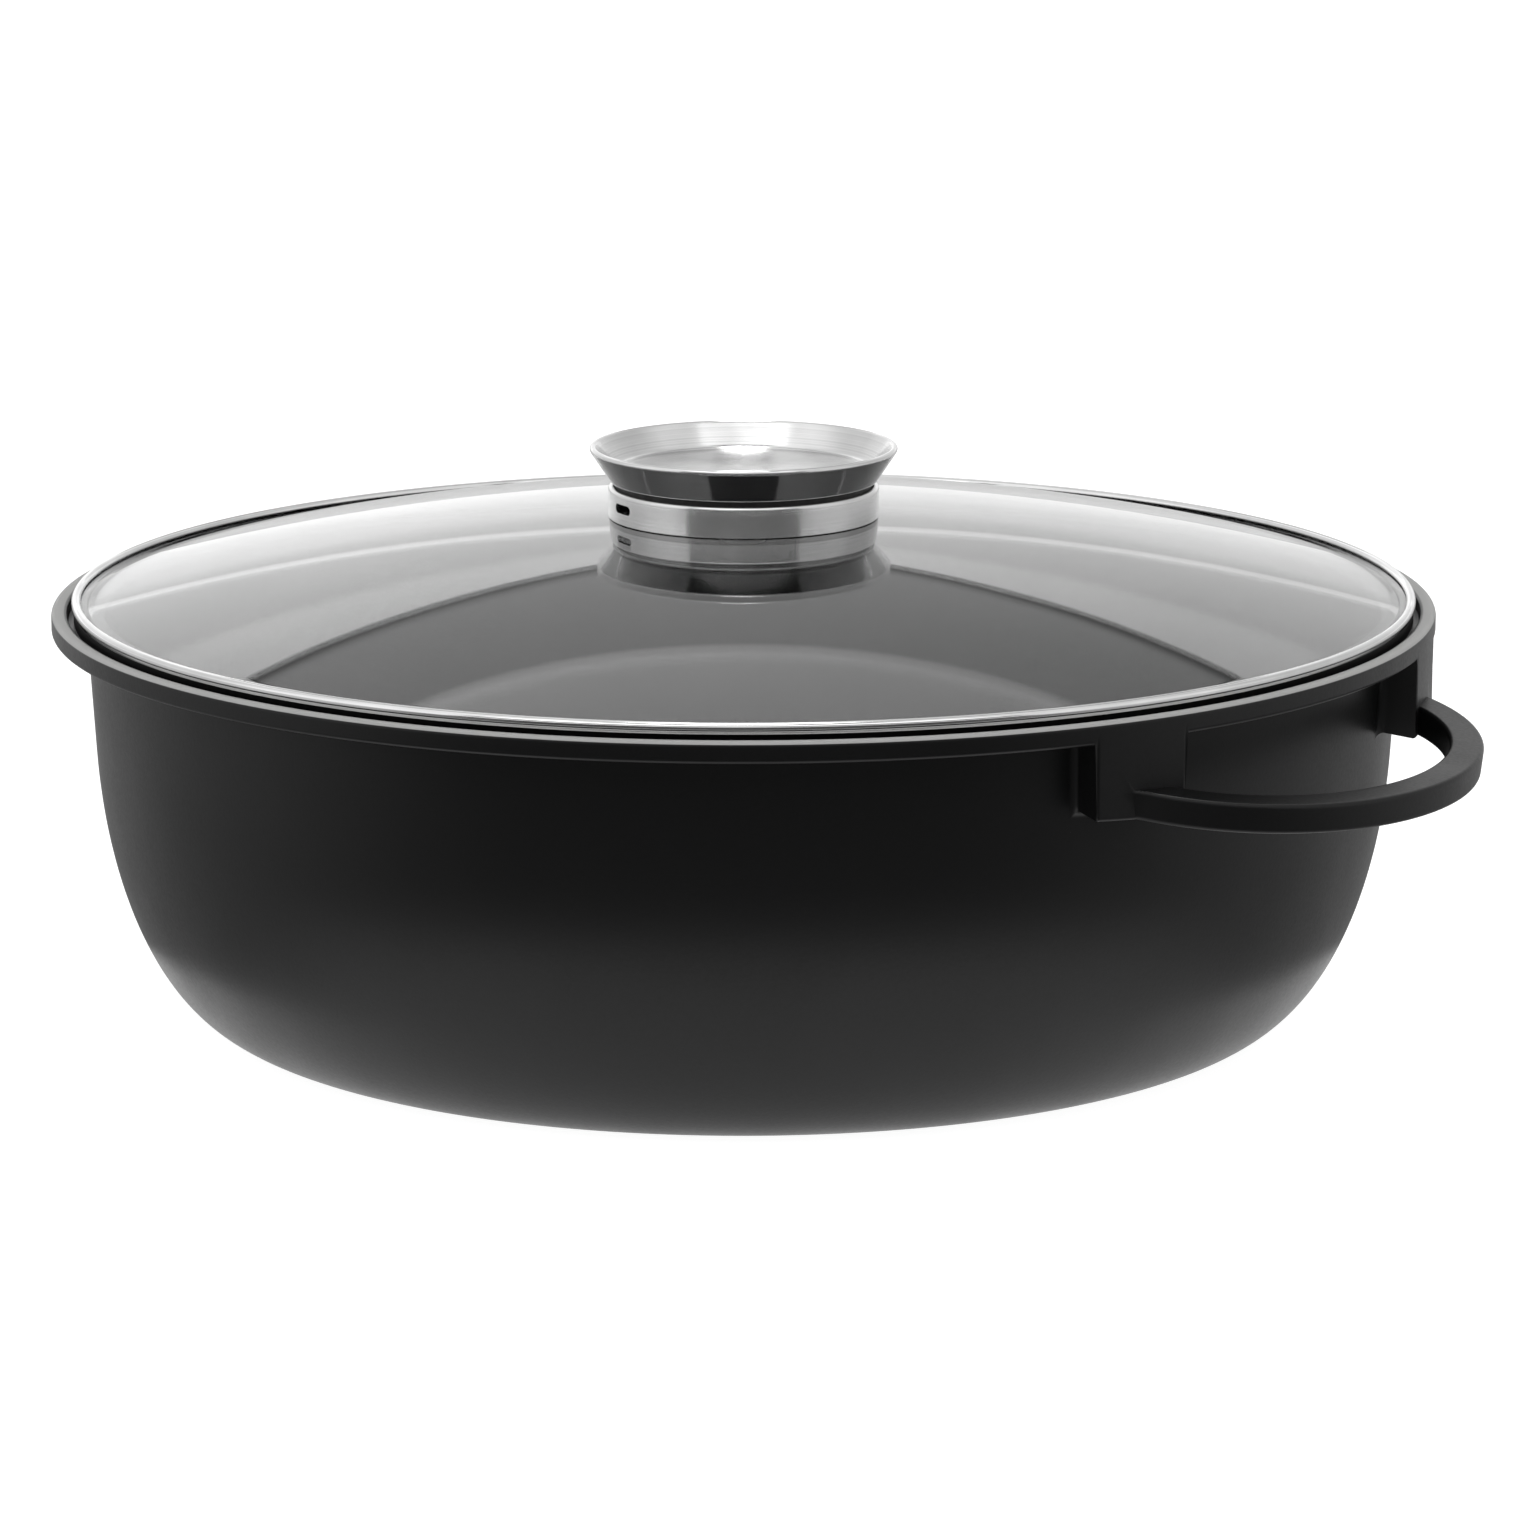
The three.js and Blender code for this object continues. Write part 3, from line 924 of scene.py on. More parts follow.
        swing = np.linspace(-np.pi / 2.0, 0.0, ARC_STEPS + 1)
        edge_r = flat_end + edge * np.cos(swing) + 0.0 * ear
        edge_z = self.underside(turn, ear, edge_r) + edge + edge * np.sin(swing)
        face_low = edge_z[:, -1:]
        face_mid = self.flange_bottom + edge + self.face_step
        face_top = self.room.top - self.rim_round
        face_z = np.hstack(
            (
                face_low + (face_mid - face_low) * EAR_SHARES,
                face_mid + (face_top - face_mid) * FLANGE_SHARES + 0.0 * ear,
            )
        )
        short = np.clip(edge - inside, 0.0, edge) * ear
        pulled = edge - np.sqrt(edge**2 - short**2)
        below = smoothstep(0.0, 2.0 * edge, self.flange_bottom + edge - face_z)
        face_r = radius - pulled * below
        edge_r = edge_r - pulled * (edge_r > flat_end)
        radii = np.hstack((wall_r, fillet_r, flat_r, edge_r, face_r))
        heights = np.hstack((wall_z, fillet_z, self.underside(turn, ear, flat_r), edge_z, face_z))
        near = np.clip(self.side_fillet - (radii - wall_r[:, -1:]), 0.0, self.side_fillet)
        moved = self.side_fillet - np.sqrt(self.side_fillet**2 - near**2)
        ear_top = self.underside(turn, np.ones_like(turn), self.wall_radius) - self.ear_fillet
        moved[:, : len(climb)] *= smoothstep(self.wall_low, ear_top.min(), wall_z)
        fade = 1.0 - smoothstep(self.ear_draft, self.side_fade, np.abs(inside))
        away = np.where(turn - inner < outer - turn, -1.0, 1.0) * np.sign(wrapped)
        return radii, heights, away * fade * moved / radius

    def bowl(self) -> Piece:
        """The turned bowl with its flange and ears, as one grid of angles by profile.

        Returns:
            The closed bowl.
        """
        top = self.room.top
        slope = math.tan(math.radians(self.taper_deg))
        top_wall = self.flange_bottom - self.flange_fillet
        foot = self.wall_line(self.wall_radius, top_wall, 0.0, self.corner_width, self.corner_height)
        foot = foot[foot[:, 1] < self.wall_low - self.seam]
        relief = foot[0, 0] - self.ring_width
        bottom = rounded(
            [
                (0.0, self.base_relief, 0.0),
                (relief, self.base_relief, self.relief_round),
                (relief + self.base_relief, 0.0, self.relief_round),
                (foot[0, 0] - self.seam, 0.0, 0.0),
            ]
        )
        ledge = top - self.ledge_depth
        rim_inner = self.room.radius - self.rim_land
        wall_inner = self.wall_radius - self.wall
        rim = rounded(
            [
                (self.room.radius, top - 2.0 * self.rim_round, 0.0),
                (self.room.radius, top, self.rim_round),
                (rim_inner, top - self.land_fall, self.rim_round / 2.0),
                (rim_inner, ledge, self.step_round),
                (wall_inner, ledge, self.ledge_round),
                (wall_inner - slope * self.ledge_run, ledge - self.ledge_run, 0.0),
            ]
        )
        inside = self.wall_line(
            wall_inner, ledge, self.base, self.corner_width - self.wall, self.corner_height - self.base
        )
        inside = inside[inside[:, 1] < ledge - self.ledge_run - self.seam][::-1]
        before = np.vstack((braced(bottom, False), foot))
        after = np.vstack((braced(rim[1:], False), inside, [[0.0, self.base]]))
        angle = self.turns()
        radii, heights, moved = self.outside(angle)
        rows = np.ones_like(angle)
        radius = np.hstack((rows * before[:, 0], radii, rows * after[:, 0]))
        height = np.hstack((rows * before[:, 1], heights, rows * after[:, 1]))
        across = angle + np.hstack((0.0 * rows * before[:, 0], moved, 0.0 * rows * after[:, 0]))
        grid = np.stack((radius * np.cos(across), radius * np.sin(across), height), axis=-1)
        return skin("pot_casting", grid, Ends.TURNED_OPEN)

    def ellipse_reach(self, angle: np.ndarray, reach: float, spread: float) -> np.ndarray:
        """Distance from the pot's axis to an ellipse that is centred on the handle's axis.

        It is the larger root of the ellipse's equation along each ray, and 0 where the ray misses.

        Args:
            angle: Angles of the rays from the handle's axis.
            reach: Half axis along the handle's axis.
            spread: Half axis across it.

        Returns:
            The distances.
        """
        centre = self.room.radius - self.loop_inset
        square = np.cos(angle) ** 2 / reach**2 + np.sin(angle) ** 2 / spread**2
        middle = centre * np.cos(angle) / reach**2
        inside = middle**2 - square * (centre**2 / reach**2 - 1.0)
        return np.where(inside > 0.0, (middle + np.sqrt(np.maximum(inside, 0.0))) / square, 0.0)

    def loop(self, side: float) -> Piece:
        """One loop handle: a flat bar between two ellipses that runs into the ears and droops outwards.

        The outer line is the higher of the ellipse and the ear's face, blended by a parabola as wide as
        the fillet. The section is a rectangle with rounded corners and a point on the flat beside each
        end of an arc. The whole bar is turned down by the droop about its top face's line at the wall.

        Args:
            side: 1 for the loop at +X and -1 for the one at -X.

        Returns:
            The closed bar, with its ends inside the ears.
        """
        rim = self.room.radius
        end = self.ear_angles()[1] - self.loop_end / rim
        angle = end * np.sin(np.linspace(-np.pi / 2.0, np.pi / 2.0, LOOP_STEPS + 1))
        reach = self.loop_reach + self.loop_inset
        far = self.ellipse_reach(angle, reach, self.loop_spread / 2.0) - rim
        near = self.ellipse_reach(angle, reach - self.loop_tip, self.loop_spread / 2.0 - self.loop_root)
        blend = np.maximum(self.loop_fillet - np.abs(far), 0.0) / self.loop_fillet
        far = rim - self.loop_sink + np.maximum(far, 0.0) + blend**2 * self.loop_fillet / 4.0
        near = np.maximum(near, self.wall_radius - self.wall)
        swing = np.pad(np.linspace(0.0, np.pi / 2.0, ARC_STEPS + 1), 1, mode="edge")
        corner = np.repeat([[1.0, 1.0], [-1.0, 1.0], [-1.0, -1.0], [1.0, -1.0]], len(swing), axis=0)
        slide = np.tile(np.r_[-BRACE_MM, np.zeros(ARC_STEPS + 1), BRACE_MM], 4)
        swing = (swing + np.array([[0.0], [1.0], [2.0], [3.0]]) * np.pi / 2.0).ravel()
        arc_out = self.loop_round * np.cos(swing) - slide * np.sin(swing)
        arc_up = self.loop_round * np.sin(swing) + slide * np.cos(swing)
        half_width = (far - near)[:, None] / 2.0 - self.loop_round
        half_height = self.loop_thickness / 2.0 - self.loop_round
        radius = (far + near)[:, None] / 2.0 + corner[:, 0] * half_width + arc_out
        level = corner[:, 1] * half_height + arc_up - self.loop_thickness / 2.0
        out = radius * np.cos(angle[:, None]) - self.wall_radius
        y = radius * np.sin(angle[:, None])
        droop = math.radians(self.droop_deg)
        x = self.wall_radius + out * math.cos(droop) + level * math.sin(droop)
        z = self.room.top - self.loop_top_depth - out * math.sin(droop) + level * math.cos(droop)
        grid = np.stack((side * x, side * y, z), axis=-1)
        return skin(f"loop_{'right' if side > 0 else 'left'}", grid, Ends.CAPPED_BAR)

    def build(self) -> None:
        """Pours bowl, ears and loops as one piece and coats it."""
        casting = self.bowl()
        combine(casting, [self.loop(1.0), self.loop(-1.0)], Join.ADD)
        self.settle(casting, "pot", COATING)


@dataclass
class GlassLid(SubAssembly):
    """The domed pane and the steel band rolled round its edge."""

    body: ClassVar[Body] = Body.LID
    glass: Extent = field(default_factory=lambda: Extent.of("lid_glass"))
    hoop: Extent = field(default_factory=lambda: Extent.of("lid_rim_band"))
    thickness: float = 3.5
    edge_flat: float = 3.0
    edge_start: float = 0.1
    rise: float = 19.5
    hole_radius: float = 5.0
    hole_round: float = 0.6
    edge_round: float = 1.4
    sheet: float = 0.6
    sheet_gap: float = 0.1
    bead_width: float = 2.2
    bead_rise: float = 0.75
    bead_height: float = 1.8
    bead_round: float = 1.05
    bead_foot_round: float = 0.4
    bead_heel_round: float = 0.28
    recess: float = 0.5
    recess_round: float = 0.1
    fold_round: float = 0.05
    bottom_lip: float = 4.2
    lip_round: float = 0.25

    def dome(self, radius: np.ndarray) -> np.ndarray:
        """Height of the pane's upper face: a sphere's cap over the flat edge.

        Args:
            radius: Distance from the axis.

        Returns:
            The heights.
        """
        foot = self.glass.radius - self.edge_flat
        sphere = (foot**2 + self.rise**2) / (2.0 * self.rise)
        top = self.glass.bottom + self.thickness + self.rise
        return top - sphere + np.sqrt(sphere**2 - radius**2)

    def pane(self) -> Piece:
        """The glass: two spherical faces, a flat rounded edge and the screw's hole.

        Returns:
            The closed pane.
        """
        foot = self.glass.radius - self.edge_flat
        low = self.glass.bottom
        radius = np.linspace(self.hole_radius + self.hole_round, foot, DOME_STEPS)
        top = np.stack((radius, self.dome(radius)), axis=1)
        under = top - [0.0, self.thickness]
        edge = rounded(
            [
                (foot + self.edge_start, low, 0.0),
                (self.glass.radius, low, self.edge_round),
                (self.glass.radius, low + self.thickness, self.edge_round),
                (foot + self.edge_start, low + self.thickness, 0.0),
            ]
        )
        hole_top = self.dome(np.array(self.hole_radius))
        bore = np.array(
            [
                [self.hole_radius, hole_top - self.hole_round],
                [self.hole_radius, hole_top - self.thickness + self.hole_round],
            ]
        )
        section = np.vstack((under, edge, top[::-1], bore))
        return skin("lid_pane", turned(section, POT_TURNS), Ends.TURNED_RING)

    def band(self) -> Piece:
        """The steel strip: a C folded round the edge, with a bead rolled along its top.

        Returns:
            The closed band.
        """
        outer, low, high = self.hoop.radius, self.hoop.bottom, self.hoop.top
        crest = high + self.bead_rise
        inner = outer - self.sheet - self.sheet_gap
        section = rounded(
            [
                (outer - self.bottom_lip, low, self.lip_round),
                (outer - self.recess, low, self.recess_round),
                (outer - self.recess, crest - self.bead_height, self.recess_round),
                (outer, crest - self.bead_height, self.bead_foot_round),
                (outer, crest, self.bead_round),
                (outer - self.bead_width, crest, self.bead_round),
                (outer - self.bead_width, high - self.sheet, self.bead_heel_round),
                (inner, high - self.sheet, self.fold_round),
                (inner, low + self.sheet, self.fold_round),
                (outer - self.bottom_lip, low + self.sheet, self.lip_round),
            ]
        )
        return skin("rim_band", turned(braced(section, True), POT_TURNS), Ends.TURNED_RING)

    def build(self) -> None:
        """Makes the pane and its band."""
        self.settle(self.pane(), "lid_glass", GLASS)
        self.settle(self.band(), "lid_rim_band", POLISHED)


@dataclass
class Knob(SubAssembly):
    """The knob: flared dish, bright collar with its steam slot, and the filling inside the collar."""

    body: ClassVar[Body] = Body.LID
    hoop: Extent = field(default_factory=lambda: Extent.of("knob_collar"))
    plug: Extent = field(default_factory=lambda: Extent.of("knob_core"))
    bowl: Extent = field(default_factory=lambda: Extent.of("knob_dish"))
    collar_sheet: float = 1.2
    collar_round: float = 0.8
    collar_inner_round: float = 0.2
    collar_foot: float = 0.3
    collar_foot_round: float = 0.12
    slot_length: float = 7.5
    slot_height: float = 2.2
    slot_angle_deg: float = -117.0
    core_bore: float = 7.3
    core_bore_round: float = 0.3
    core_foot_round: float = 0.5
    core_top_round: float = 0.2
    channel_start: float = 3.5
    channel_over: float = 1.0
    boss_radius: float = 7.0
    boss_length: float = 3.0
    boss_round: float = 0.3
    thread_radius: float = 3.3
    thread_depth: float = 1.1
    thread_round: float = 0.1
    dish_wall: float = 1.6
    dish_floor: float = 2.2
    dish_foot_round: float = 0.9
    dish_inner_round: float = 2.0
    flare_deg: float = 33.2

    def slot_bar(self, name: str, bottom: float, top: float, start: float) -> Piece:
        """A bar with round ends in section that points out from the axis at the slot's angle.

        Args:
            name: Name of the bar.
            bottom: Height of its underside.
            top: Height of its upper side.
            start: Distance of its inner end from the axis.

        Returns:
            The closed bar.
        """
        middle, half_height = (bottom + top) / 2.0, (top - bottom) / 2.0
        swing = np.linspace(0.0, 2.0 * np.pi, SLOT_STEPS, endpoint=False)
        side = np.where(np.cos(swing) >= 0.0, 1.0, -1.0)
        across = side * (self.slot_length / 2.0 - half_height) + half_height * np.cos(swing)
        level = middle + half_height * np.sin(swing)
        out = np.array([[start], [2.0 * self.hoop.radius]])
        turn = math.radians(self.slot_angle_deg)
        x = out * math.cos(turn) - across * math.sin(turn)
        y = out * math.sin(turn) + across * math.cos(turn)
        return skin(name, np.stack((x, y, level + 0.0 * out), axis=-1), Ends.CAPPED_BAR)

    def collar(self) -> Piece:
        """The hoop that shows as a bright band close above the glass, with the slot cut in its side.

        Returns:
            The closed hoop.
        """
        inner = self.hoop.radius - self.collar_sheet
        foot = self.hoop.bottom - self.collar_foot
        section = rounded(
            [
                (inner, foot, self.collar_inner_round),
                (self.hoop.radius, foot, self.collar_foot_round),
                (self.hoop.radius, self.hoop.top, self.collar_round),
                (inner, self.hoop.top, self.collar_inner_round),
            ]
        )
        made = skin("knob_ring", turned(braced(section, True), KNOB_TURNS), Ends.TURNED_RING)
        middle = (self.hoop.bottom + self.hoop.top) / 2.0
        half = self.slot_height / 2.0
        cutter = self.slot_bar("slot_cutter", middle - half, middle + half, self.boss_radius)
        combine(made, [cutter], Join.CUT)
        return made

    def core(self) -> Piece:
        """The filling of the collar, with the channel that leads to the slot.

        Returns:
            The closed filling.
        """
        section = rounded(
            [
                (self.core_bore, self.plug.bottom, self.core_bore_round),
                (self.plug.radius, self.plug.bottom, self.core_foot_round),
                (self.plug.radius, self.plug.top, self.core_top_round),
                (self.core_bore, self.plug.top, self.core_bore_round),
            ]
        )
        made = skin("knob_filling", turned(braced(section, True), KNOB_TURNS), Ends.TURNED_RING)
        low = self.plug.bottom - self.channel_over
        top = (self.hoop.bottom + self.hoop.top + self.slot_height) / 2.0
        combine(made, [self.slot_bar("channel_cutter", low, top, self.channel_start)], Join.CUT)
        return made

    def dish(self) -> Piece:
        """The flared bowl with a rolled lip, and the boss with its blind bore under the floor.

        The lip is a half circle as thick as the wall, and the wall's two faces leave it straight down
        the flare.

        Returns:
            The closed dish.
        """
        low = self.bowl.bottom + self.boss_length
        floor = low + self.dish_floor
        flare = math.radians(self.flare_deg)
        lip = self.dish_wall / 2.0
        swing = np.linspace(-flare, np.pi - flare, 2 * ARC_STEPS + 1)
        rolled = np.stack((np.cos(swing), np.sin(swing)), axis=1) * lip
        rolled += [self.bowl.radius - lip, self.bowl.top - lip]
        foot = rolled[0, 0] - (rolled[0, 1] - low) * math.tan(flare)
        inner_foot = rolled[-1, 0] - (rolled[-1, 1] - floor) * math.tan(flare)
        thread_top = low + self.thread_depth
        outside = rounded(
            [
                (0.0, thread_top, 0.0),
                (self.thread_radius, thread_top, self.thread_round),
                (self.thread_radius, self.bowl.bottom, self.boss_round),
                (self.boss_radius, self.bowl.bottom, self.boss_round),
                (self.boss_radius, low, self.boss_round),
                (foot, low, self.dish_foot_round),
                (rolled[0, 0], rolled[0, 1], 0.0),
            ]
        )
        inside = rounded(
            [
                (rolled[-1, 0], rolled[-1, 1], 0.0),
                (inner_foot, floor, self.dish_inner_round),
                (0.0, floor, 0.0),
            ],
            steps=3 * ARC_STEPS,
        )
        section = np.vstack((braced(outside, False)[:-1], rolled, braced(inside, False)[1:]))
        return skin("knob_bowl", turned(section, KNOB_TURNS), Ends.TURNED_OPEN)

    def build(self) -> None:
        """Makes dish, collar and filling."""
        self.settle(self.dish(), "knob_dish", HALF_BRUSHED)
        self.settle(self.collar(), "knob_collar", BRUSHED)
        self.settle(self.core(), "knob_core", RESIN)


@dataclass
class KnobFastening(SubAssembly):
    """What holds the knob on the glass: two silicone rings, a washer and a hollow screw."""

    body: ClassVar[Body] = Body.LID
    ring_round: float = 0.35
    upper_bore: float = 7.3
    lower_bore: float = 3.3
    screw_radius: float = 3.0
    bore_radius: float = 1.6
    bore_round: float = 0.1
    head_height: float = 2.6
    head_round: float = 1.1
    neck_round: float = 0.2
    tip_wall: float = 1.0
    tip_round: float = 0.4
    drive_width: float = 1.4
    drive_depth: float = 0.9

    def ring(self, name: str, node: str, bore: float) -> Piece:
        """A flat ring that fills a solid's room, with soft edges.

        Args:
            name: Name of the piece.
            node: Solid whose height and outer radius it takes.
            bore: Radius of its hole.

        Returns:
            The closed ring.
        """
        room = Extent.of(node)
        section = rounded(
            [
                (bore, room.bottom, self.ring_round),
                (room.radius, room.bottom, self.ring_round),
                (room.radius, room.top, self.ring_round),
                (bore, room.top, self.ring_round),
            ]
        )
        return skin(name, turned(braced(section, True), KNOB_TURNS), Ends.TURNED_RING)

    def screw(self) -> Piece:
        """The hollow screw, head down, with a straight slot for the driver.

        Returns:
            The closed screw.
        """
        room = Extent.of("vent_screw")
        head_top = room.bottom + self.head_height
        section = rounded(
            [
                (0.0, room.top - self.tip_wall, 0.0),
                (self.bore_radius, room.top - self.tip_wall, self.bore_round),
                (self.bore_radius, room.bottom, self.neck_round),
                (room.radius, room.bottom, self.head_round),
                (room.radius, head_top, self.neck_round),
                (self.screw_radius, head_top, self.neck_round),
                (self.screw_radius, room.top, self.tip_round),
                (0.0, room.top, 0.0),
            ]
        )
        made = skin("hollow_screw", turned(braced(section, False), SCREW_TURNS), Ends.TURNED_OPEN)
        half = self.drive_width / 2.0
        across = np.array([half, -half, -half, half])
        level = room.bottom + self.drive_depth * np.array([1.0, 1.0, -1.0, -1.0])
        out = np.array([[-1.0], [1.0]]) * 2.0 * room.radius
        grid = np.stack((out + 0.0 * across, across + 0.0 * out, level + 0.0 * out), axis=-1)
        combine(made, [skin("driver_slot", grid, Ends.CAPPED_BAR)], Join.CUT)
        return made

    def build(self) -> None:
        """Makes rings and screw."""
        self.settle(self.ring("upper_seal", "knob_seal", self.upper_bore), "knob_seal", SILICONE)
        self.settle(self.ring("lower_seal", "inner_seal", self.lower_bore), "inner_seal", SILICONE)
        self.settle(self.ring("steel_washer", "inner_washer", self.lower_bore), "inner_washer", PLAIN)
        self.settle(self.screw(), "vent_screw", PLAIN)


@dataclass(frozen=True)
class LightZone:
    """A stretch of the surroundings from an edge upwards.

    At t degrees from straight behind the pot, the edge lies at start plus rise times t plus bend times
    t squared degrees above the horizon.
    """

    start_deg: float
    rise: float
    bend: float
    soft_deg: float
    brightness: float


# Behind the pot, upwards: white flats with a thin bright seam, a dark edge along their top that is low
# behind the pot and rises to both sides, a dim gap above them, a soft light with a bright lower edge,
# and the strong light overhead.
BEHIND = (
    LightZone(9.5, 0.0, 0.0, 1.5, 1.0),
    LightZone(13.3, -0.26, 0.0, 0.25, 1.45),
    LightZone(14.3, -0.26, 0.0, 0.25, 1.0),
    LightZone(15.6, 0.5, 0.0, 0.8, 1.2),
    LightZone(17.2, 0.85, 0.0, 0.2, 0.12),
    LightZone(18.0, 0.85, 0.0, 0.5, 0.55),
    LightZone(31.6, 0.0, 0.035, 0.4, 1.05),
    LightZone(32.8, 0.0, 0.035, 0.6, 0.85),
    LightZone(68.0, 0.25, 0.0, 3.0, 12.0),
)
# On the camera's side, upwards: a white strip, the dark room, a soft light and the dark ceiling.
AHEAD = (
    LightZone(9.0, 0.0, 0.0, 1.0, 1.2),
    LightZone(16.0, 0.0, 0.0, 1.0, 0.13),
    LightZone(32.0, 0.0, 0.0, 2.0, 1.6),
    LightZone(62.0, 0.0, 0.0, 2.0, 0.06),
)


@dataclass
class Studio:
    """A lit white floor that reflects as a grey table, the lights all round and the camera."""

    azimuth_deg: float = 36.0
    distance: float = 1650.0
    camera_height: float = 416.8
    pitch_deg: float = 12.267
    yaw_deg: float = 0.21
    focal_px: float = 7017.0
    image_px: float = 1538.0
    sensor_mm: float = 36.0
    sight: float = 100000.0
    floor_half: float = 20000.0
    floor_colour: str = "#959595"
    floor_rough: float = 0.9
    floor_glow: float = 0.95
    table_lift: float = 1.0
    table_start: float = 160.0
    table_far: float = 650.0
    table_near_level: float = 0.38
    table_far_level: float = 0.6
    table_blend_deg: float = 22.0
    white: float = 1.1
    dark_start: float = 235.0
    dark_soft: float = 15.0
    horizon: float = 1.15
    beside: float = 0.7
    beside_start_deg: float = 15.0
    beside_end_deg: float = 50.0
    flank: float = 1.35
    flank_start_deg: float = 75.0
    flank_end_deg: float = 95.0
    dark: float = 0.08
    dark_half_deg: float = 49.0
    dark_edge_deg: float = 1.5
    left: float = 1.08
    right: float = 0.86
    lean: float = 0.15

    def camera(self) -> None:
        """Sets the camera at the photograph's place, turned down and a little to its right."""
        turn = math.radians(self.azimuth_deg)
        data = bpy.data.cameras.new("camera")
        data.sensor_width = self.sensor_mm
        data.lens = self.focal_px / self.image_px * self.sensor_mm
        data.clip_end = self.sight * MM
        made = bpy.data.objects.new("camera", data)
        made.location = (
            self.distance * MM * math.sin(turn),
            -self.distance * MM * math.cos(turn),
            self.camera_height * MM,
        )
        made.rotation_euler = (
            math.pi / 2.0 - math.radians(self.pitch_deg),
            0.0,
            turn - math.radians(self.yaw_deg),
        )
        bpy.context.scene.collection.objects.link(made)
        bpy.context.scene.camera = made

    def floor(self) -> None:
        """Lays a white table as the floor, lit from below as well, so that hardly a shadow is left."""
        half = self.floor_half
        side = np.array([-half, half])
        x, y = np.meshgrid(side, side, indexing="ij")
        made = skin("floor", np.stack((x, y, 0.0 * x), axis=-1), Ends.SHEET)
        material = bpy.data.materials.new("lit_white_table")
        material.use_nodes = True
        shader = material.node_tree.nodes["Principled BSDF"]
        shader.inputs["Base Color"].default_value = linear(self.floor_colour)
        shader.inputs["Roughness"].default_value = self.floor_rough
        shader.inputs["Emission Color"].default_value = (1.0, 1.0, 1.0, 1.0)
        shader.inputs["Emission Strength"].default_value = self.floor_glow
        made.data.materials.append(material)

    def staged(self, name: str, grid: np.ndarray, seen: Seen) -> Tree:
        """Makes a sheet that goes right round the pot and that one kind of ray sees.

        Args:
            name: Name of the sheet and its material.
            grid: Its points in millimetres.
            seen: What sees it.

        Returns:
            The material's nodes, still empty.
        """
        made = skin(name, grid, Ends.TURNED_OPEN)
        material = bpy.data.materials.new(name)
        material.use_nodes = True
        material.node_tree.nodes.clear()
        made.data.materials.append(material)
        made.visible_camera = seen is Seen.CAMERA
        made.visible_glossy = seen is Seen.REFLECTIONS
        made.visible_diffuse = False
        made.visible_transmission = False
        made.visible_shadow = False
        return material.node_tree

    def backdrop(self) -> None:
        """Stands a plain white wall at the floor's edge, for cameras that look along the floor."""
        wall = np.array([[self.floor_half, 0.0], [self.floor_half, self.floor_half]])
        tree = self.staged("white_backdrop", turned(wall, SCREW_TURNS), Seen.CAMERA)
        glow = add_node(tree, "ShaderNodeEmission", {"Strength": self.white}).outputs["Emission"]
        add_node(tree, "ShaderNodeOutputMaterial", {"Surface": glow})

    def reflected_table(self) -> None:
        """Lays a ring that only reflections see: the table as the pot mirrors it.

        Beside and behind the pot it is grey, and lighter further out. Towards the camera it is white
        near the pot and dark further out. Between the two it changes evenly with the direction.
        """
        ring = np.array([[self.table_start, self.table_lift], [self.floor_half, self.table_lift]])
        tree = self.staged("reflected_table", turned(ring, POT_TURNS), Seen.REFLECTIONS)
        turn = math.radians(self.azimuth_deg)
        place = add_node(tree, "ShaderNodeTexCoord").outputs["Object"]
        away = add_node(tree, "ShaderNodeVectorMath", {0: place}, operation="LENGTH").outputs["Value"]
        towards = {0: place, 1: (math.sin(turn), -math.cos(turn), 0.0)}
        ahead = add_node(tree, "ShaderNodeVectorMath", towards, operation="DOT_PRODUCT").outputs["Value"]
        cosine = add_node(tree, "ShaderNodeMath", {0: ahead, 1: away}, operation="DIVIDE").outputs[0]
        fall = {
            "Value": away,
            "From Min": self.table_start * MM,
            "From Max": self.table_far * MM,
            "To Min": self.table_near_level,
            "To Max": self.table_far_level,
        }
        beside = add_node(tree, "ShaderNodeMapRange", fall).outputs["Result"]
        drop = {
            "Value": away,
            "From Min": (self.dark_start - self.dark_soft) * MM,
            "From Max": (self.dark_start + self.dark_soft) * MM,
            "To Min": self.white,
            "To Max": self.dark,
        }
        front = add_node(tree, "ShaderNodeMapRange", drop, interpolation_type=SMOOTH).outputs["Result"]
        change = {
            "Value": cosine,
            "From Min": math.cos(math.radians(self.dark_half_deg + self.table_blend_deg)),
            "From Max": math.cos(math.radians(self.dark_half_deg - self.table_blend_deg)),
            "To Min": beside,
            "To Max": front,
        }
        level = add_node(tree, "ShaderNodeMapRange", change, interpolation_type=SMOOTH).outputs["Result"]
        glow = add_node(tree, "ShaderNodeEmission", {"Strength": level}).outputs["Emission"]
        add_node(tree, "ShaderNodeOutputMaterial", {"Surface": glow})

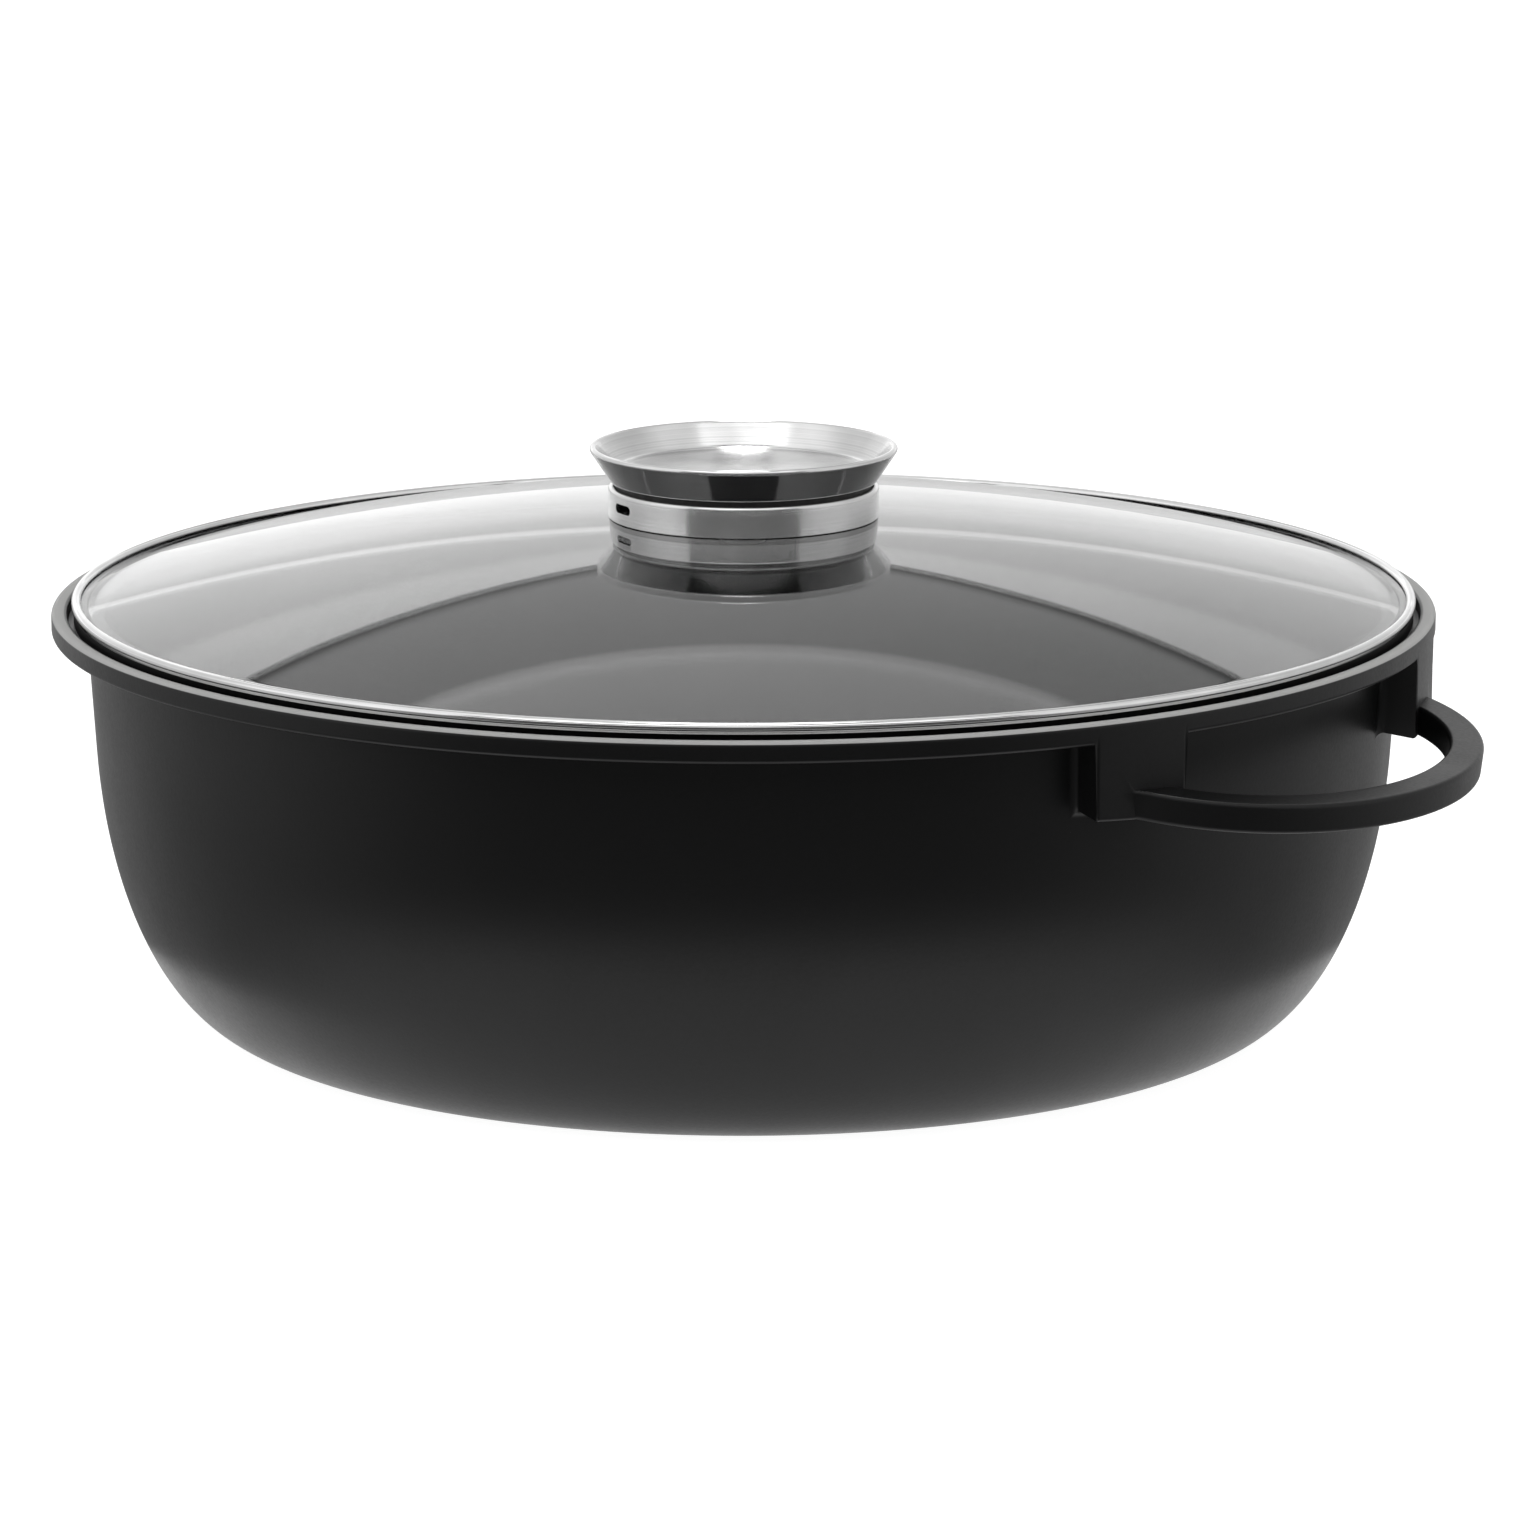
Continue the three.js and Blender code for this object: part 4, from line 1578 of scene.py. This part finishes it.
    def zone(
        self, tree: Tree, zone: LightZone, azimuth: Socket, elevation: Socket, level: Socket | float
    ) -> Socket:
        """Lays a zone over what lies below it.

        Args:
            tree: The world's nodes.
            zone: The zone.
            azimuth: Angle from straight behind the pot.
            elevation: Angle above the horizon.
            level: Brightness below the zone.

        Returns:
            The brightness with the zone.
        """
        soft = math.radians(zone.soft_deg)
        curve = {0: azimuth, 1: math.degrees(zone.bend), 2: zone.rise}
        steep = add_node(tree, "ShaderNodeMath", curve, operation="MULTIPLY_ADD").outputs[0]
        line = {0: azimuth, 1: steep, 2: math.radians(zone.start_deg)}
        edge = add_node(tree, "ShaderNodeMath", line, operation="MULTIPLY_ADD").outputs[0]
        over = add_node(tree, "ShaderNodeMath", {0: elevation, 1: edge}, operation="SUBTRACT").outputs[0]
        step = {
            "Value": over,
            "From Min": -soft,
            "From Max": soft,
            "To Min": level,
            "To Max": zone.brightness,
        }
        return add_node(tree, "ShaderNodeMapRange", step, interpolation_type=SMOOTH).outputs["Result"]

    def surroundings(self) -> None:
        """Lights the scene from all round by direction.

        Zones lie over each other from the horizon up, one set behind and beside the pot and one on the
        camera's side. The whole is a little brighter on the left.
        """
        world = bpy.data.worlds.new("studio")
        world.use_nodes = True
        tree = world.node_tree
        tree.nodes.clear()
        turn = math.radians(self.azimuth_deg)
        back = (-math.sin(turn), math.cos(turn), 0.0)
        right = (math.cos(turn), math.sin(turn), 0.0)
        way = add_node(tree, "ShaderNodeTexCoord").outputs["Generated"]
        along = add_node(tree, "ShaderNodeVectorMath", {0: way, 1: back}, operation="DOT_PRODUCT")
        along = along.outputs["Value"]
        aside = add_node(tree, "ShaderNodeVectorMath", {0: way, 1: right}, operation="DOT_PRODUCT")
        aside = aside.outputs["Value"]
        spread = add_node(tree, "ShaderNodeMath", {0: aside}, operation="ABSOLUTE").outputs[0]
        azimuth = add_node(tree, "ShaderNodeMath", {0: spread, 1: along}, operation="ARCTAN2").outputs[0]
        upward = add_node(tree, "ShaderNodeSeparateXYZ", {"Vector": way}).outputs["Z"]
        elevation = add_node(tree, "ShaderNodeMath", {0: upward}, operation="ARCSINE").outputs[0]
        behind = self.horizon
        for zone in BEHIND:
            behind = self.zone(tree, zone, azimuth, elevation, behind)
        sides = {
            "Value": azimuth,
            "From Min": math.radians(self.beside_start_deg),
            "From Max": math.radians(self.beside_end_deg),
            "To Min": 1.0,
            "To Max": self.beside,
        }
        dim = add_node(tree, "ShaderNodeMapRange", sides).outputs["Result"]
        flanks = {
            "Value": azimuth,
            "From Min": math.radians(self.flank_start_deg),
            "From Max": math.radians(self.flank_end_deg),
            "To Min": dim,
            "To Max": self.beside * self.flank,
        }
        dim = add_node(tree, "ShaderNodeMapRange", flanks).outputs["Result"]
        behind = add_node(tree, "ShaderNodeMath", {0: behind, 1: dim}, operation="MULTIPLY").outputs[0]
        ahead = self.dark
        for zone in AHEAD:
            ahead = self.zone(tree, zone, azimuth, elevation, ahead)
        edge = math.pi - math.radians(self.dark_half_deg)
        facing = {
            "Value": azimuth,
            "From Min": edge - math.radians(self.dark_edge_deg),
            "From Max": edge + math.radians(self.dark_edge_deg),
            "To Min": behind,
            "To Max": ahead,
        }
        level = add_node(tree, "ShaderNodeMapRange", facing).outputs["Result"]
        across = {
            "Value": aside,
            "From Min": -self.lean,
            "From Max": self.lean,
            "To Min": self.left,
            "To Max": self.right,
        }
        lean = add_node(tree, "ShaderNodeMapRange", across).outputs["Result"]
        level = add_node(tree, "ShaderNodeMath", {0: level, 1: lean}, operation="MULTIPLY").outputs[0]
        glow = {"Color": (1.0, 1.0, 1.0, 1.0), "Strength": level}
        light = add_node(tree, "ShaderNodeBackground", glow).outputs["Background"]
        add_node(tree, "ShaderNodeOutputWorld", {"Surface": light})
        bpy.context.scene.world = world

    def build(self) -> None:
        """Sets floor, backdrop, table, light and camera."""
        self.floor()
        self.backdrop()
        self.reflected_table()
        self.surroundings()
        self.camera()
        bpy.context.scene.view_settings.view_transform = "Standard"


def main() -> None:
    """Builds the pot piece by piece, then the studio."""
    logging.basicConfig(level=logging.INFO, format="%(name)s: %(message)s")
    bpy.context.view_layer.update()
    for part in (PotCasting(), GlassLid(), Knob(), KnobFastening()):
        part.build()
    Studio().build()


if __name__ == "__main__":
    main()
